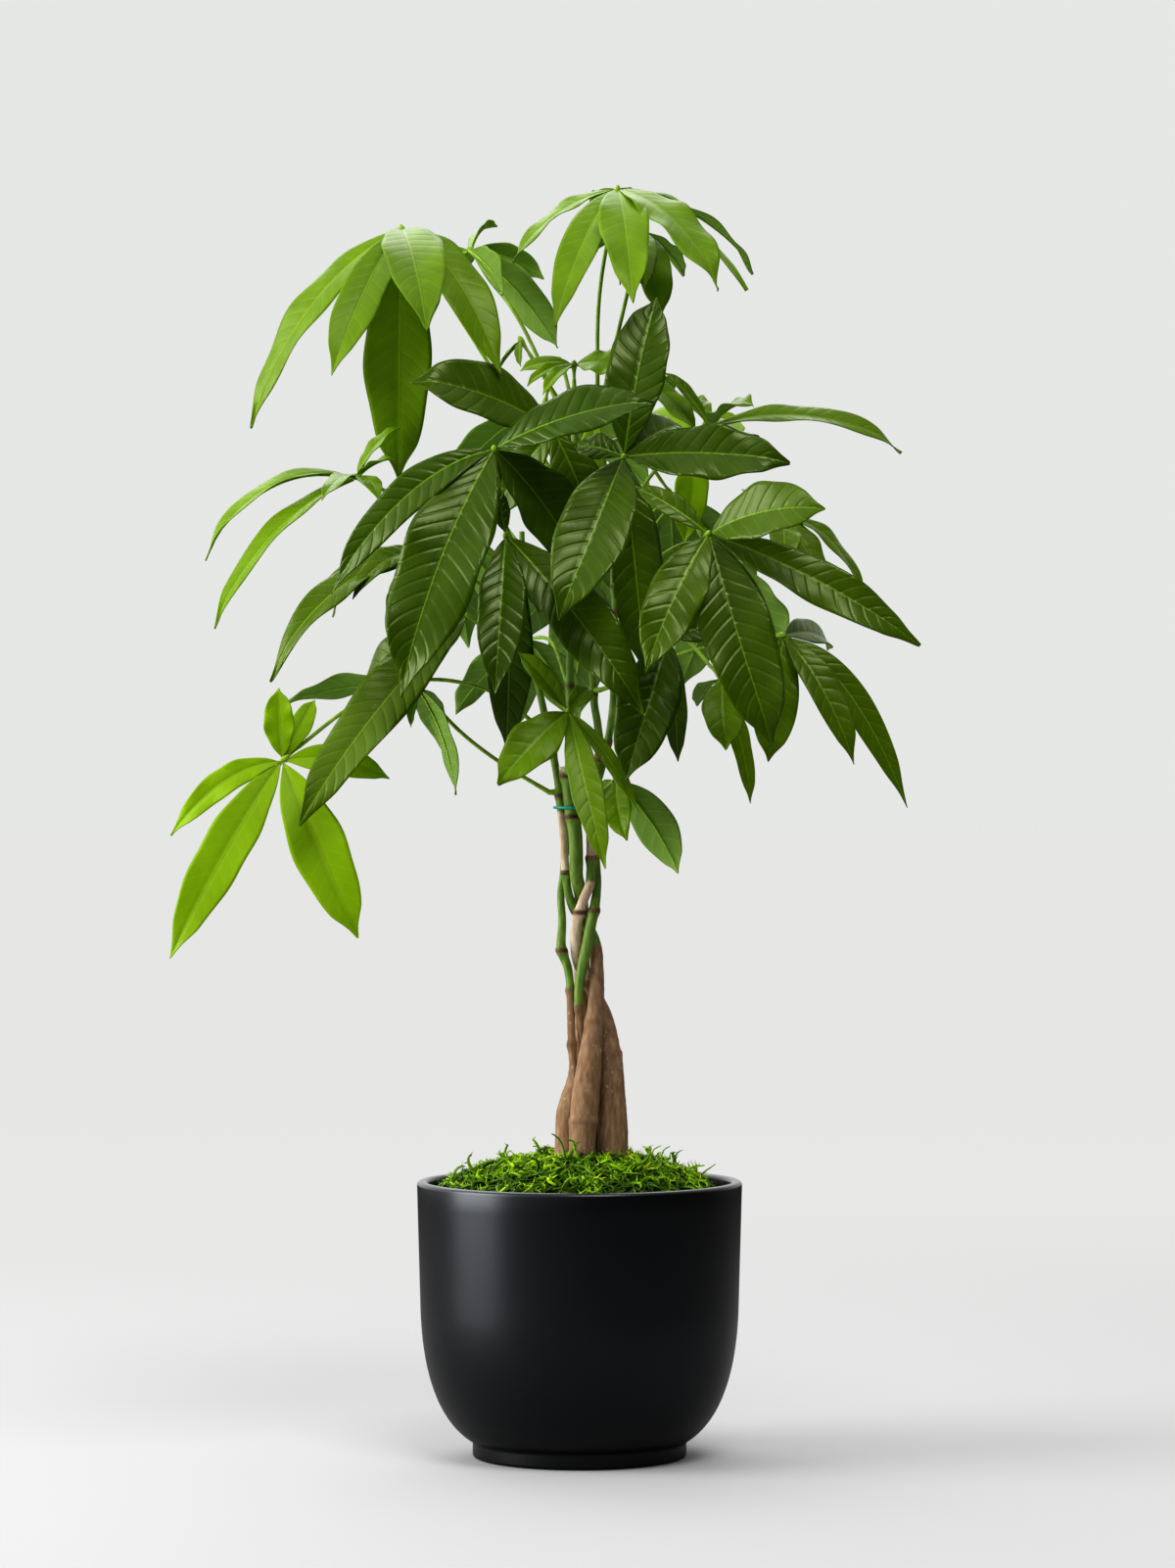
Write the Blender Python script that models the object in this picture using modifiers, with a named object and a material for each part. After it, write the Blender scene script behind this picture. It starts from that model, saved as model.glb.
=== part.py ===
"""Potted money tree: five plaited Pachira stems in a matte black cachepot, topped with moss.

Sizes in the tables are millimetres, the model is in metres, +Z up. The origin is the middle
of the pot's base. The front of the plant faces -Y.
"""

import math

import bmesh
import bpy
from mathutils import Quaternion, Vector

MM = 0.001
GAP = 0.3  # left between pieces that touch

# Pot
POT_STEPS = 36
RIM_RADIUS = 90.0
POT_HEIGHT = 152.4
LIP_ROUND = 2.2
WALL = 6.0
SHOULDER = (88.2, 85.4)  # radius and height where the straight wall turns into the belly
BELLY_PULLS = ((87.5, 46.0), (78.0, 20.0))
FOOT_NECK = (60.4, 9.0)
FOOT_RADIUS = 59.2
FOOT_SIDE = (1.8, 7.0)  # bottom and top of the upright side of the foot
BASE_RADIUS = 57.5
FLOOR_HEIGHT = 12.0
FLOOR_RADIUS = 42.0
FOOT_RISE = 6.5  # how much higher the inside of the belly starts than the outside
STRAIGHT_WALL = (89.3, 113.0)  # radius and height part way up the wall above the shoulder

# Soil and moss
SOIL_HEIGHT = 140.0
MOSS_RADIUS = 79.5
MOSS_OUTLINE = ((0.0, 168.0), (28.0, 166.5), (52.0, 161.0), (70.0, 153.0), (MOSS_RADIUS, 146.0))

# Stems: x, y, height and radius along each one, from the root end up
STEMS = {
    "stem_front": [
        (0, -12, 112, 6.6), (1, -11, 150, 6.4), (1.5, -10.5, 172, 6.2), (3, -9.5, 195, 6.4),
        (5.5, -8.5, 218, 6.2), (8.3, -5.6, 243, 4.8), (9.5, -2, 263, 4.1), (9, 2, 280, 3.6),
        (6, 4.5, 290, 3.2), (1, 4.5, 297, 2.9), (-3.3, 4.3, 303, 2.6), (-5.8, 3.2, 310, 2.4),
        (-7, 2, 316, 2.3), (-7.6, 1, 322, 2.3), (-8.2, 0.5, 330, 2.3), (-9, 0.5, 345, 2.3),
        (-10.3, 0.5, 359, 2.4), (-12, 0.5, 374, 2.2), (-15, 1, 390, 2.1), (-21, 1, 418, 2.0),
        (-27, 1, 445, 1.9), (-31, 2, 470, 1.8), (-32, 4, 512, 1.5)],
    "stem_right": [
        (20, -3, 112, 7.6), (19, -3, 150, 7.6), (18.5, -2, 172, 7.2), (18.2, -1, 195, 5.6),
        (17.5, 0.5, 218, 5.4), (14.5, 4, 240, 4.6), (8, 5.5, 256, 3.8), (0.3, 4, 270, 3.3),
        (-2.2, -0.5, 284, 3.0), (-0.5, -2.8, 299, 2.9), (2.2, -4, 308, 2.7),
        (5.6, -3.6, 316, 2.7), (6.4, -2.2, 323, 2.7), (6.6, -1.5, 332, 2.8),
        (6.4, -1.5, 345, 2.8), (5.8, -2, 359, 2.8), (9, -1, 372, 2.6), (11.5, 0, 388, 2.5),
        (10, 0.5, 405, 2.2), (7.5, 0, 424, 2.1), (7, 0, 470, 2.0), (6, 1, 500, 1.9),
        (4, 1.5, 540, 1.8), (5, 3, 590, 1.6)],
    "stem_left": [
        (-9, 0.5, 112, 6.8), (-8, 0.5, 150, 6.8), (-7, 1.5, 172, 6.4), (-6.5, 3.5, 190, 5.8),
        (-2, 6.5, 205, 5.4), (0, 9, 218, 5.2), (2, 12, 240, 4.8), (1.5, 13, 262, 4.4),
        (0.5, 12.6, 290, 4.1), (1, 11.5, 302, 3.9), (0.7, 6.5, 310, 3.7),
        (-0.6, 1.2, 316, 3.7), (-1.8, -3.6, 322, 3.7), (-1.8, -5.2, 330, 3.8),
        (-2.4, -5.5, 345, 3.9), (-4.5, -5, 359, 4.0), (-5.6, -5, 372, 4.4), (-7, -5, 382, 4.6)],
    "stem_thin_left": [
        (3, 4, 112, 2.5), (2.5, 3, 150, 2.5), (2, 1.5, 172, 2.4), (1.5, 0, 190, 2.3),
        (0, -1.5, 205, 2.2), (-3.2, -2.5, 214, 2.2), (-4.6, -1.7, 234, 2.2),
        (-5, -1, 257, 2.2), (-6.5, 0, 270, 2.4), (-10.1, 0, 281, 2.7), (-9.6, 0.5, 296, 2.2),
        (-10.4, 4.8, 310, 2.1), (-9, 7, 322, 2.1), (-8, 7, 332, 2.1), (-6.5, 6.8, 345, 2.1),
        (-5, 6.2, 359, 2.2), (-5.5, 7, 383, 2.3), (-5.4, 8, 420, 2.3), (-5, 8, 470, 2.2),
        (-3, 6, 532, 2.0), (-3, 3, 592, 1.7)],
    "stem_thin_right": [
        (10.5, 10, 112, 3.2), (10.5, 9, 150, 3.2), (10.2, 7.5, 172, 3.0), (9, 5, 190, 2.6),
        (7, 2.6, 205, 2.3), (4, 1, 218, 2.1), (1.6, -0.5, 230, 2.0), (0, -3, 243, 2.1),
        (-0.5, -4, 256, 2.5), (1, -5, 268, 2.7), (3.5, -5, 280, 3.0), (6.5, -4.5, 295, 2.9),
        (8.2, -3, 303, 2.8), (9.6, 1.2, 314, 2.4), (9.4, 4, 324, 2.4), (7.5, 6, 345, 2.4),
        (5, 6.5, 359, 2.3), (12, 11, 380, 2.2), (18, 17, 410, 2.1), (20, 23, 450, 2.0),
        (19, 26, 490, 1.8), (18, 27, 515, 1.5)],
}
STEM_STEPS = 2  # points on the smooth stem between two of the points above

# Tie
TIE_HEIGHT = 359.0
TIE_WIRE = 0.8
TIE_CORNERS = ((-14, 0), (-11.5, 6), (-5, 9.9), (5, 10.4), (10.1, 5.4), (10, -3), (5, -7.5),
               (-4, -10.5), (-9.5, -7.5), (-13.4, -3.5))
TIE_TAIL = ((11.5, -5.2, 360.5), (14.2, -6.6, 362.5), (16.4, -7.2, 366))

# Leaves
BLADE_THICKNESS = 0.8
BLADE_BOW = 0.10  # how far a blade arches towards its upper face, over its length
BLADE_SAG = 0.07  # how far it also rises before it droops, over its level reach
BLADE_FOLD = 0.13  # how far each half is raised towards its edge, over its width
SHORT_BLADE = 105.0  # blades under this length take fewer faces
BLADE_NECK = (0.9, 0.6)  # a blade is never narrower than this to each side at root and tip
ROOT_INSET = 1.6  # a blade starts this far from the middle of its knob
STALK_RADIUS = 1.1
STALK_FOOT = 3.0  # length of the swollen foot against the stem
FOOT_SWELL = (1.5, 1.4)  # how much thicker the stalk is at the start and end of its foot
KNOB_RADIUS = 3.2
KNOB_SHAPE = ((4, 0.45), (1, 1), (-2, 0.75))  # distance back down the stalk, share of radius

# Each compound leaf: the stem that bears it, the height on that stem, the knob where its
# leaflets meet, the way their upper faces look, the points that its stalk passes, and for
# each leaflet where the tip lies from the knob (x, y, z) and how wide the blade is. Where a
# blade droops more than the rest, a fifth number takes the place of BLADE_SAG, and a sixth
# turns the blade about its own length in degrees
LEAVES = {
    "leaf_top_left": ("stem_thin_left", 532, (-98, -20, 678), (0, -6, 10), [(-47, -8, 599)],
        [(-86, 8, -109, 26, 0.22), (-36, -52, -85, 27), (-3, 35, -138, 38),
         (17, -88, -63, 34, 0.15), (56, -42, -84, 30, 0.3), (12, 95, -48, 26, 0.2)]),
    "leaf_top_left_back": ("stem_thin_left", 572, (-62, 45, 673), (0, 8, 6), [(-32, 25, 628)],
        [(14, 45, 19, 12), (42, 17, -14, 18), (50, -17, -57, 24), (20, -37, -29, 22),
         (-29, 70, -19, 24)]),
    "leaf_top_right": ("stem_right", 586, (21, 0, 702), (0, -3, 10), [(11, 2, 643)],
        [(-59, -8, -42, 18, 0.15), (-35, -62, -82, 24, 0.2), (8, -78, -70, 28, 0.15),
         (56, -62, -60, 30, 0.15), (72, -8, -57, 20, 0.12), (79, 42, -41, 20, 0.12),
         (-8, 86, -20, 26, 0.1)]),
    "leaf_top_right_low": ("stem_right", 566, (35, 48, 684), (0, -2, 10), [(24, 28, 635)],
        [(-33, 14, -15, 14), (-12, 62, -24, 12), (1, -44, -37, 18), (11, -36, -51, 22),
         (25, 30, -22, 18)]),
    "leaf_centre_shiny": ("stem_front", 500, (-46, -75, 553), (0, -10, 6), [(-41, -40, 516)],
        [(86, -25, 24, 30, 0.03), (-89, -3, -78, 24, 0.3), (-50, -37, -134, 47, 0.12),
         (50, 33, -70, 36), (0, 27, -21, 10)]),
    "leaf_centre_high": ("stem_thin_left", 548, (-14, -42, 565), (0, -10, 6), [],
        [(-76, -38, 25, 38), (25, 12, -64, 30), (-35, 22, -48, 26)]),
    "leaf_centre_upright": ("stem_right", 500, (24, -70, 549), (0, -10, 4), [(18, -35, 530)],
        [(18, 25, 88, 33), (89, -22, -4, 33, 0.03), (-35, -52, -89, 40), (12, -4, -119, 30),
         (-27, 15, 6, 16), (33, 40, 20, 26)]),
    "leaf_centre_right": ("stem_right", 455, (69, -98, 506), (0, -10, 4), [(42, -50, 478)],
        [(60, -42, 11, 33), (113, -10, -60, 26, 0.02), (34, -24, -114, 40), (-34, -30, -74, 31),
         (-39, 10, 25, 14)]),
    "leaf_centre_low": ("stem_front", 470, (-40, -60, 507), (0, -10, 4), [(-36, -35, 484)],
        [(-5, -35, -86, 27), (75, -28, -97, 34), (0, 22, -117, 26), (-4, -2, 25, 10)]),
    "leaf_far_left": ("stem_front", 405, (-161, -60, 385), (0, -10, 3),
        [(-49, -22, 423), (-85, -35, 429), (-120, -45, 417)],
        [(-2, -2, 39, 17), (17, 12, 33, 13), (58, 8, -10, 18, 0.15),
         (42, -18, -96, 31, 0.0), (-60, -18, -107, 27, 0.15), (-61, 2, -41, 16, 0.3)]),
    "leaf_left_thin": ("stem_front", 490, (-124, -10, 542), (0, -3, 10), [(-85, -6, 522)],
        [(-85, -10, -45, 18, 0.3), (-77, -35, -84, 18, 0.15), (24, 2, 28, 14), (22, -12, 9, 14),
         (15, -35, -14, 12), (-15, -60, -16, 12)]),
    "leaf_left_mid": ("stem_front", 458, (-80, -35, 495), (0, -7, 10), [(-52, -18, 480)],
        [(-44, -23, -22, 18, 0.4), (-72, 5, -36, 20, 0.35), (-61, 47, -28, 14, 0.3),
         (-90, -27, -66, 22, 0.3), (-26, 80, -40, 24)]),
    "leaf_left_low": ("stem_front", 438, (-61, -40, 464), (-2, -10, 8), [],
        [(-57, -32, -59, 30), (-89, -58, -114, 34), (-62, 45, -37, 24)]),
    "leaf_low_left": ("stem_front", 368, (-88, -18, 425), (0, 6, 10),
        [(-44, -6, 384), (-67, -12, 402)],
        [(-74, 12, -8, 22), (-5, -10, -22, 8), (21, -27, -59, 20), (10, 58, -31, 16)]),
    "leaf_bottom_centre": ("stem_left", 379, (-6, -60, 412), (0, -10, 5), [(-7, -30, 392)],
        [(-38, -22, -40, 27), (20, -38, -85, 18), (-27, 2, 32, 12), (12, 12, 13, 12),
         (38, -12, -54, 9)]),
    "leaf_right_low": ("stem_thin_right", 430, (112, -15, 454), (2, -10, 6), [(59, 10, 445)],
        [(39, -17, -71, 20, 0.25), (69, 3, -95, 20, 0.4), (-8, -7, -70, 26), (-20, 55, -38, 20),
         (30, 60, -5, 20)]),
    "leaf_right_upper": ("stem_thin_right", 512, (72, -8, 570), (0, -7, 10), [(41, 8, 545)],
        [(108, 2, -12, 18, 0.14), (-12, 36, 19, 12), (22, -37, 10, 22), (26, 38, -9, 30),
         (-25, -4, 30, 9)]),
    "leaf_right_mid": ("stem_thin_right", 470, (112, -20, 520), (2, -6, 10), [(59, 5, 502)],
        [(0, -32, -29, 18), (21, -12, -40, 20), (48, 12, -49, 14, 0.35), (-20, 45, 16, 18)]),
    "leaf_right_stalk": ("stem_thin_right", 455, (78, -22, 430), (0, -6, 10), [(53, 5, 456)],
        [(2, -23, -39, 24), (17, 4, -69, 12), (-13, 37, -14, 14), (22, 34, -28, 18)]),
    "leaf_low_dark": ("stem_right", 425, (49, -44, 452), (0, -10, 4), [(31, -22, 431)],
        [(-24, -33, -78, 34), (5, 17, -68, 14), (27, 12, 6, 18)]),
    "leaf_low_right": ("stem_right", 388, (20, -30, 375), (2, 10, 3), [(17, -16, 380)],
        [(35, -8, -52, 24), (5, -28, -33, 17, 0.07, 180), (-14, 10, -14, 10)]),
    "leaf_back_yellow": ("stem_thin_right", 500, (66, 55, 563), (0, -10, 3), [(49, 45, 526)],
        [(-7, -7, -55, 20), (-28, 40, 22, 20), (28, 33, 16, 20)]),
    "leaf_top_young": ("stem_thin_left", 590, (-3, -12, 604), (0, -8, 10), [],
        [(-30, -6, -4, 12), (-26, -20, -13, 8), (-17, -30, -19, 8), (32, -10, -5, 25)]),
    "leaf_upper_olive": ("stem_right", 575, (34, 12, 598), (0, -5, 10), [],
        [(31, -20, -31, 18), (-16, 28, -22, 18), (20, 48, -2, 16)]),
    "leaf_folded_young": ("stem_thin_left", 582, (-33, 6, 619), (-4, 0, 10), [(-23, 3, 603)],
        [(-14, -4, -22, 9), (0, -14, -16, 5)]),
    "leaf_inner_lime": ("stem_thin_left", 560, (8, -12, 575), (0, -10, 2), [],
        [(-8, -7, -47, 9), (0, -17, -48, 14)]),
    "leaf_back_top": ("stem_thin_left", 585, (-20, 85, 590), (0, 4, 10), [(-12, 45, 612)],
        [(-60, 30, -52, 28), (-30, 82, -58, 34), (30, 84, -60, 34), (62, 32, -50, 28)]),
    "leaf_back_upper": ("stem_right", 558, (52, 112, 540), (0, 6, 10), [(28, 60, 566)],
        [(-48, 45, -62, 30), (4, 72, -84, 36), (52, 48, -60, 30), (22, -30, -40, 20)]),
    "leaf_back_left": ("stem_front", 506, (-72, 78, 520), (-3, 7, 10), [(-54, 40, 530)],
        [(-34, 20, -58, 22), (-36, 66, -76, 32), (6, 78, -66, 32), (40, 16, -66, 24)]),
    "leaf_back_middle": ("stem_thin_left", 500, (4, 118, 500), (0, 7, 10), [(0, 60, 515)],
        [(-52, 42, -56, 30), (-8, 62, -92, 38), (46, 44, -64, 30)]),
    "leaf_back_right": ("stem_thin_right", 485, (92, 92, 498), (3, 7, 10), [(60, 60, 508)],
        [(-34, 52, -70, 30), (14, 60, -88, 34), (28, 8, -62, 24)]),
    "leaf_back_low": ("stem_thin_left", 430, (-30, 64, 455), (-1, 7, 10), [(-16, 38, 452)],
        [(-42, 28, -42, 24), (-12, 52, -56, 28), (30, 38, -48, 26)]),
}


# ---- helpers -------------------------------------------------------------------------------


def clear_scene():
    for item in list(bpy.data.objects):
        bpy.data.objects.remove(item, do_unlink=True)


def new_collection(name):
    collection = bpy.data.collections.new(name)
    bpy.context.scene.collection.children.link(collection)
    return collection


def material(name, colour, roughness):
    made = bpy.data.materials.new(name)
    made.use_nodes = True
    shader = made.node_tree.nodes["Principled BSDF"]
    shader.inputs["Base Color"].default_value = (*colour, 1)
    shader.inputs["Roughness"].default_value = roughness
    shader.inputs["Metallic"].default_value = 0
    return made


def add_object(name, data, collection, look=None):
    made = bpy.data.objects.new(name, data)
    collection.objects.link(made)
    if look:
        data.materials.append(look)
    return made


def as_cutter(item):
    item.hide_render = True
    item.display_type = "WIRE"
    return item


def bezier(points, t):
    """The point at t on the Bezier curve of any number of control points."""
    points = [Vector(p) for p in points]
    while len(points) > 1:
        points = [a.lerp(b, t) for a, b in zip(points, points[1:])]
    return points[0]


def smooth(points, steps):
    """Points on the Catmull-Rom curve through the given ones, steps to each stretch."""
    points = [Vector(p) for p in points]
    ends = [2 * points[0] - points[1], *points, 2 * points[-1] - points[-2]]
    route = []
    for a, b, c, d in zip(ends, ends[1:], ends[2:], ends[3:]):
        for i in range(steps):
            t = i / steps
            route.append(0.5 * (2 * b + (c - a) * t + (2 * a - 5 * b + 4 * c - d) * t**2
                                + (3 * b - a - 3 * c + d) * t**3))
    return route + [points[-1]]


def turned(name, outline, collection, look):
    """A turned solid. The outline is radius and height, up the inside and down the outside."""
    mesh = bpy.data.meshes.new(name)
    verts = [(radius * MM, 0, height * MM) for radius, height in outline]
    mesh.from_pydata(verts, [(i, i + 1) for i in range(len(verts) - 1)], [])
    made = add_object(name, mesh, collection, look)
    screw = made.modifiers.new("turn", "SCREW")
    screw.steps = screw.render_steps = POT_STEPS
    screw.use_merge_vertices = True
    screw.merge_threshold = 0.0001
    screw.use_smooth_shade = True
    return made


def tube(name, route, collection, look=None, resolution=1, closed=False):
    """A tube along points of x, y, z and radius."""
    data = bpy.data.curves.new(name, "CURVE")
    data.dimensions = "3D"
    data.bevel_depth = MM
    data.bevel_resolution = resolution
    data.use_fill_caps = not closed
    spline = data.splines.new("POLY")
    spline.points.add(len(route) - 1)
    for point, (x, y, z, radius) in zip(spline.points, route):
        point.co = (x * MM, y * MM, z * MM, 1)
        point.radius = radius
    spline.use_cyclic_u = closed
    return add_object(name, data, collection, look)


def as_mesh(curve, look=None):
    """The curve object made a mesh with its caps welded on."""
    collection = curve.users_collection[0]
    mesh = bpy.data.meshes.new_from_object(curve.evaluated_get(
        bpy.context.evaluated_depsgraph_get()))
    shape = bmesh.new()
    shape.from_mesh(mesh)
    bmesh.ops.remove_doubles(shape, verts=shape.verts, dist=0.00001)
    shape.to_mesh(mesh)
    shape.free()
    name = curve.name
    place = curve.matrix_world.copy()
    bpy.data.objects.remove(curve, do_unlink=True)
    mesh.materials.clear()
    made = add_object(name, mesh, collection, look)
    made.matrix_world = place
    return made


def cut(item, cutter, operation="DIFFERENCE", own=False):
    boolean = item.modifiers.new(cutter.name, "BOOLEAN")
    boolean.operation = operation
    boolean.solver = "EXACT"
    boolean.use_self = own
    boolean.object = cutter


# ---- pot, soil and moss --------------------------------------------------------------------


def arc(centre, radius, first, steps=3):
    """A quarter circle round centre, turning clockwise from the first direction in degrees."""
    points = []
    for i in range(steps + 1):
        angle = math.radians(first - 90 * i / steps)
        points.append((centre[0] + radius * math.cos(angle), centre[1] + radius * math.sin(angle)))
    return points


def inner_wall(inset=0.0):
    """The inside of the pot from the floor up to the lip, less an inset."""
    curve = [FOOT_NECK, BELLY_PULLS[1], BELLY_PULLS[0], SHOULDER]
    belly = [bezier([(*p, 0) for p in curve], i / 5) for i in range(6)]
    shift = WALL + inset
    rise = FOOT_RISE + inset
    wall = [(p.x - shift, p.y + rise * (1 - i / 5)) for i, p in enumerate(belly)]
    return [(FLOOR_RADIUS, FLOOR_HEIGHT + inset), *wall]


def build_pot(collection, look):
    lip = POT_HEIGHT - LIP_ROUND
    inner_lip = arc((RIM_RADIUS - WALL + LIP_ROUND, lip), LIP_ROUND, 180)
    outer_lip = arc((RIM_RADIUS - LIP_ROUND, lip), LIP_ROUND, 90)
    curve = [SHOULDER, *BELLY_PULLS, FOOT_NECK]
    belly = [bezier([(*p, 0) for p in curve], i / 8) for i in range(9)]
    outline = [(0, FLOOR_HEIGHT), *inner_wall(), *inner_lip, *outer_lip]
    outline += [STRAIGHT_WALL, *[(p.x, p.y) for p in belly]]
    low, high = FOOT_SIDE
    outline += [(FOOT_RADIUS, high), (FOOT_RADIUS, low), (BASE_RADIUS, 0), (0, 0)]
    return turned("pot", outline, collection, look)


def build_soil(collection, look):
    top = RIM_RADIUS - WALL - GAP - 0.6
    outline = [(0, SOIL_HEIGHT), (top, SOIL_HEIGHT), *reversed(inner_wall(GAP))]
    outline += [(0, FLOOR_HEIGHT + GAP)]
    return turned("soil", outline, collection, look)


def build_moss(collection, look):
    bottom = SOIL_HEIGHT + GAP
    outline = [*MOSS_OUTLINE, (MOSS_RADIUS - 0.5, bottom), (0, bottom)]
    return turned("moss_top", outline, collection, look)


# ---- stems and tie -------------------------------------------------------------------------


def stem_route(name, extra=0.0):
    return [(*p.xyz, p.w + extra) for p in smooth(STEMS[name], STEM_STEPS)]


def stem_sides(name):
    return 1 if "thin" in name else 2


def build_stems(collection, cutters, look, hosts):
    for name in STEMS:
        tube(name, stem_route(name), collection, look, resolution=stem_sides(name))
        hole = [p for p in stem_route(name, GAP) if p[2] < 200]
        hole[0] = (hole[0][0], hole[0][1], hole[0][2] - GAP, hole[0][3])
        guide = tube("hole_" + name, hole, cutters, resolution=stem_sides(name))
        cutter = as_cutter(as_mesh(guide))
        for host in hosts:
            cut(host, cutter)


def build_tie(collection, cutters, look):
    """A wire loop round the stems, with its twisted end standing off to one side."""
    loop = [Vector((x, y, TIE_HEIGHT)) for x, y in TIE_CORNERS]
    ring = smooth(loop + [loop[0]], 2)[:-1]
    tie = as_mesh(tube("twist_tie", [(*p, TIE_WIRE) for p in ring], collection, closed=True), look)
    start = (10.0, -3.0, TIE_HEIGHT)
    tail = [(*p, TIE_WIRE * 1.2) for p in (start, *TIE_TAIL)]
    end = as_cutter(as_mesh(tube("tie_tail", tail, cutters)))
    cut(tie, end, "UNION", own=True)


# ---- leaves --------------------------------------------------------------------------------


def on_stem(name, height):
    """The middle and the radius of a stem at a height."""
    route = stem_route(name)
    for low, high in zip(route, route[1:]):
        if low[2] <= height <= high[2]:
            t = (height - low[2]) / (high[2] - low[2])
            at = Vector(low).lerp(Vector(high), t)
            return at.xyz, at.w
    raise ValueError(name)


def stalk_route(stem, height, knob, via):
    """From the skin of the stem out along the stalk to its knob, with the radius at each point."""
    middle, radius = on_stem(stem, height)
    knob = Vector(knob)
    first = Vector(via[0]) if via else knob
    out = Vector((first.x - middle.x, first.y - middle.y, 0)).normalized()
    base = middle + out * (radius + GAP + 0.1)
    shoulder = base + out * STALK_FOOT
    points = smooth([shoulder, *via, knob], 2)
    inwards = (points[-2] - knob).normalized()
    points = [p for p in points[:-1] if (p - knob).length > KNOB_SHAPE[0][0] + 1]
    route = [(*base, STALK_RADIUS * FOOT_SWELL[0]), (*points[0], STALK_RADIUS * FOOT_SWELL[1])]
    route += [(*p, STALK_RADIUS) for p in points[1:]]
    for along, swell in KNOB_SHAPE:
        route.append((*(knob + inwards * along), KNOB_RADIUS * swell))
    return route


def half_width(t):
    """The outline of a leaflet: a wedge at the root, widest past the middle, a drawn-out tip."""
    return 3.74 * max(t, 0) ** 0.95 * max(1.02 - t, 0) ** 0.8 * (1 - 0.25 * t)


def add_blade(shape, knob, tip, width, facing, sag=BLADE_SAG, turn=0):
    """One leaflet as a sheet of faces between the knob and the tip."""
    length = tip.length
    along = tip / length
    up = (facing - along * facing.dot(along)).normalized()
    up.rotate(Quaternion(along, math.radians(turn)))
    side = up.cross(along)
    root = knob + along * ROOT_INSET
    end = knob + tip
    reach = (tip.x**2 + tip.y**2) ** 0.5
    pull = (root + end) / 2 + up * (BLADE_BOW * length) + Vector((0, 0, sag * reach))
    neck, tip_neck = BLADE_NECK
    segments = 3 if length < SHORT_BLADE else 4
    grid = bmesh.ops.create_grid(shape, x_segments=segments, y_segments=2, size=0.5)
    for vert in grid["verts"]:
        t = vert.co.x + 0.5
        across = vert.co.y * 2
        half = max(width / 2 * half_width(t), neck + (tip_neck - neck) * t)
        lift = BLADE_FOLD * abs(across) * half
        vert.co = (bezier([root, pull, end], t) + side * (across * half) + up * lift) * MM


def build_leaf(name, spec, collection, cutters, look):
    stem, height, knob, facing, via, leaflets = spec
    facing = Vector(facing).normalized()
    shape = bmesh.new()
    for x, y, z, width, *bend in leaflets:
        add_blade(shape, Vector(knob), Vector((x, y, z)), width, facing, *bend)
    mesh = bpy.data.meshes.new("blades_" + name)
    shape.to_mesh(mesh)
    shape.free()
    blades = as_cutter(add_object("blades_" + name, mesh, cutters))
    sheet = blades.modifiers.new("thickness", "SOLIDIFY")
    sheet.thickness = BLADE_THICKNESS * MM
    sheet.offset = 0
    stalk = tube(name, stalk_route(stem, height, knob, via), collection)
    cut(as_mesh(stalk, look), blades, "UNION", own=True)


# ---- the plant -----------------------------------------------------------------------------


def main():
    clear_scene()
    plant = new_collection("potted_money_tree")
    cutters = new_collection("cutters")
    glaze = material("matte_black_ceramic", (0.012, 0.013, 0.016), 0.42)
    earth = material("potting_soil", (0.035, 0.022, 0.014), 0.95)
    moss = material("green_moss", (0.12, 0.24, 0.02), 0.9)
    bark = material("bark_and_green_shoots", (0.22, 0.15, 0.09), 0.8)
    wire = material("teal_wire", (0.0, 0.30, 0.25), 0.5)
    leaf = material("green_leaf", (0.06, 0.19, 0.012), 0.4)
    build_pot(plant, glaze)
    hosts = (build_soil(plant, earth), build_moss(plant, moss))
    build_stems(plant, cutters, bark, hosts)
    build_tie(plant, cutters, wire)
    for name, spec in LEAVES.items():
        build_leaf(name, spec, plant, cutters, leaf)


main()
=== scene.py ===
# %% [markdown]
# # A potted money tree
# Five slim Pachira stems are plaited together, tied, and planted in a matte black cachepot
# under a cushion of stringy moss. Above the tie the shoots carry hand-shaped leaves on long
# stalks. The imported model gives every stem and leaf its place, so each step here puts the
# finer, finished piece exactly where its plain solid stands, and the solid is then hidden.

# %% Load the plant's frame
import math
import random

import bpy
import numpy as np
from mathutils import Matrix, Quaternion, Vector, noise


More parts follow.
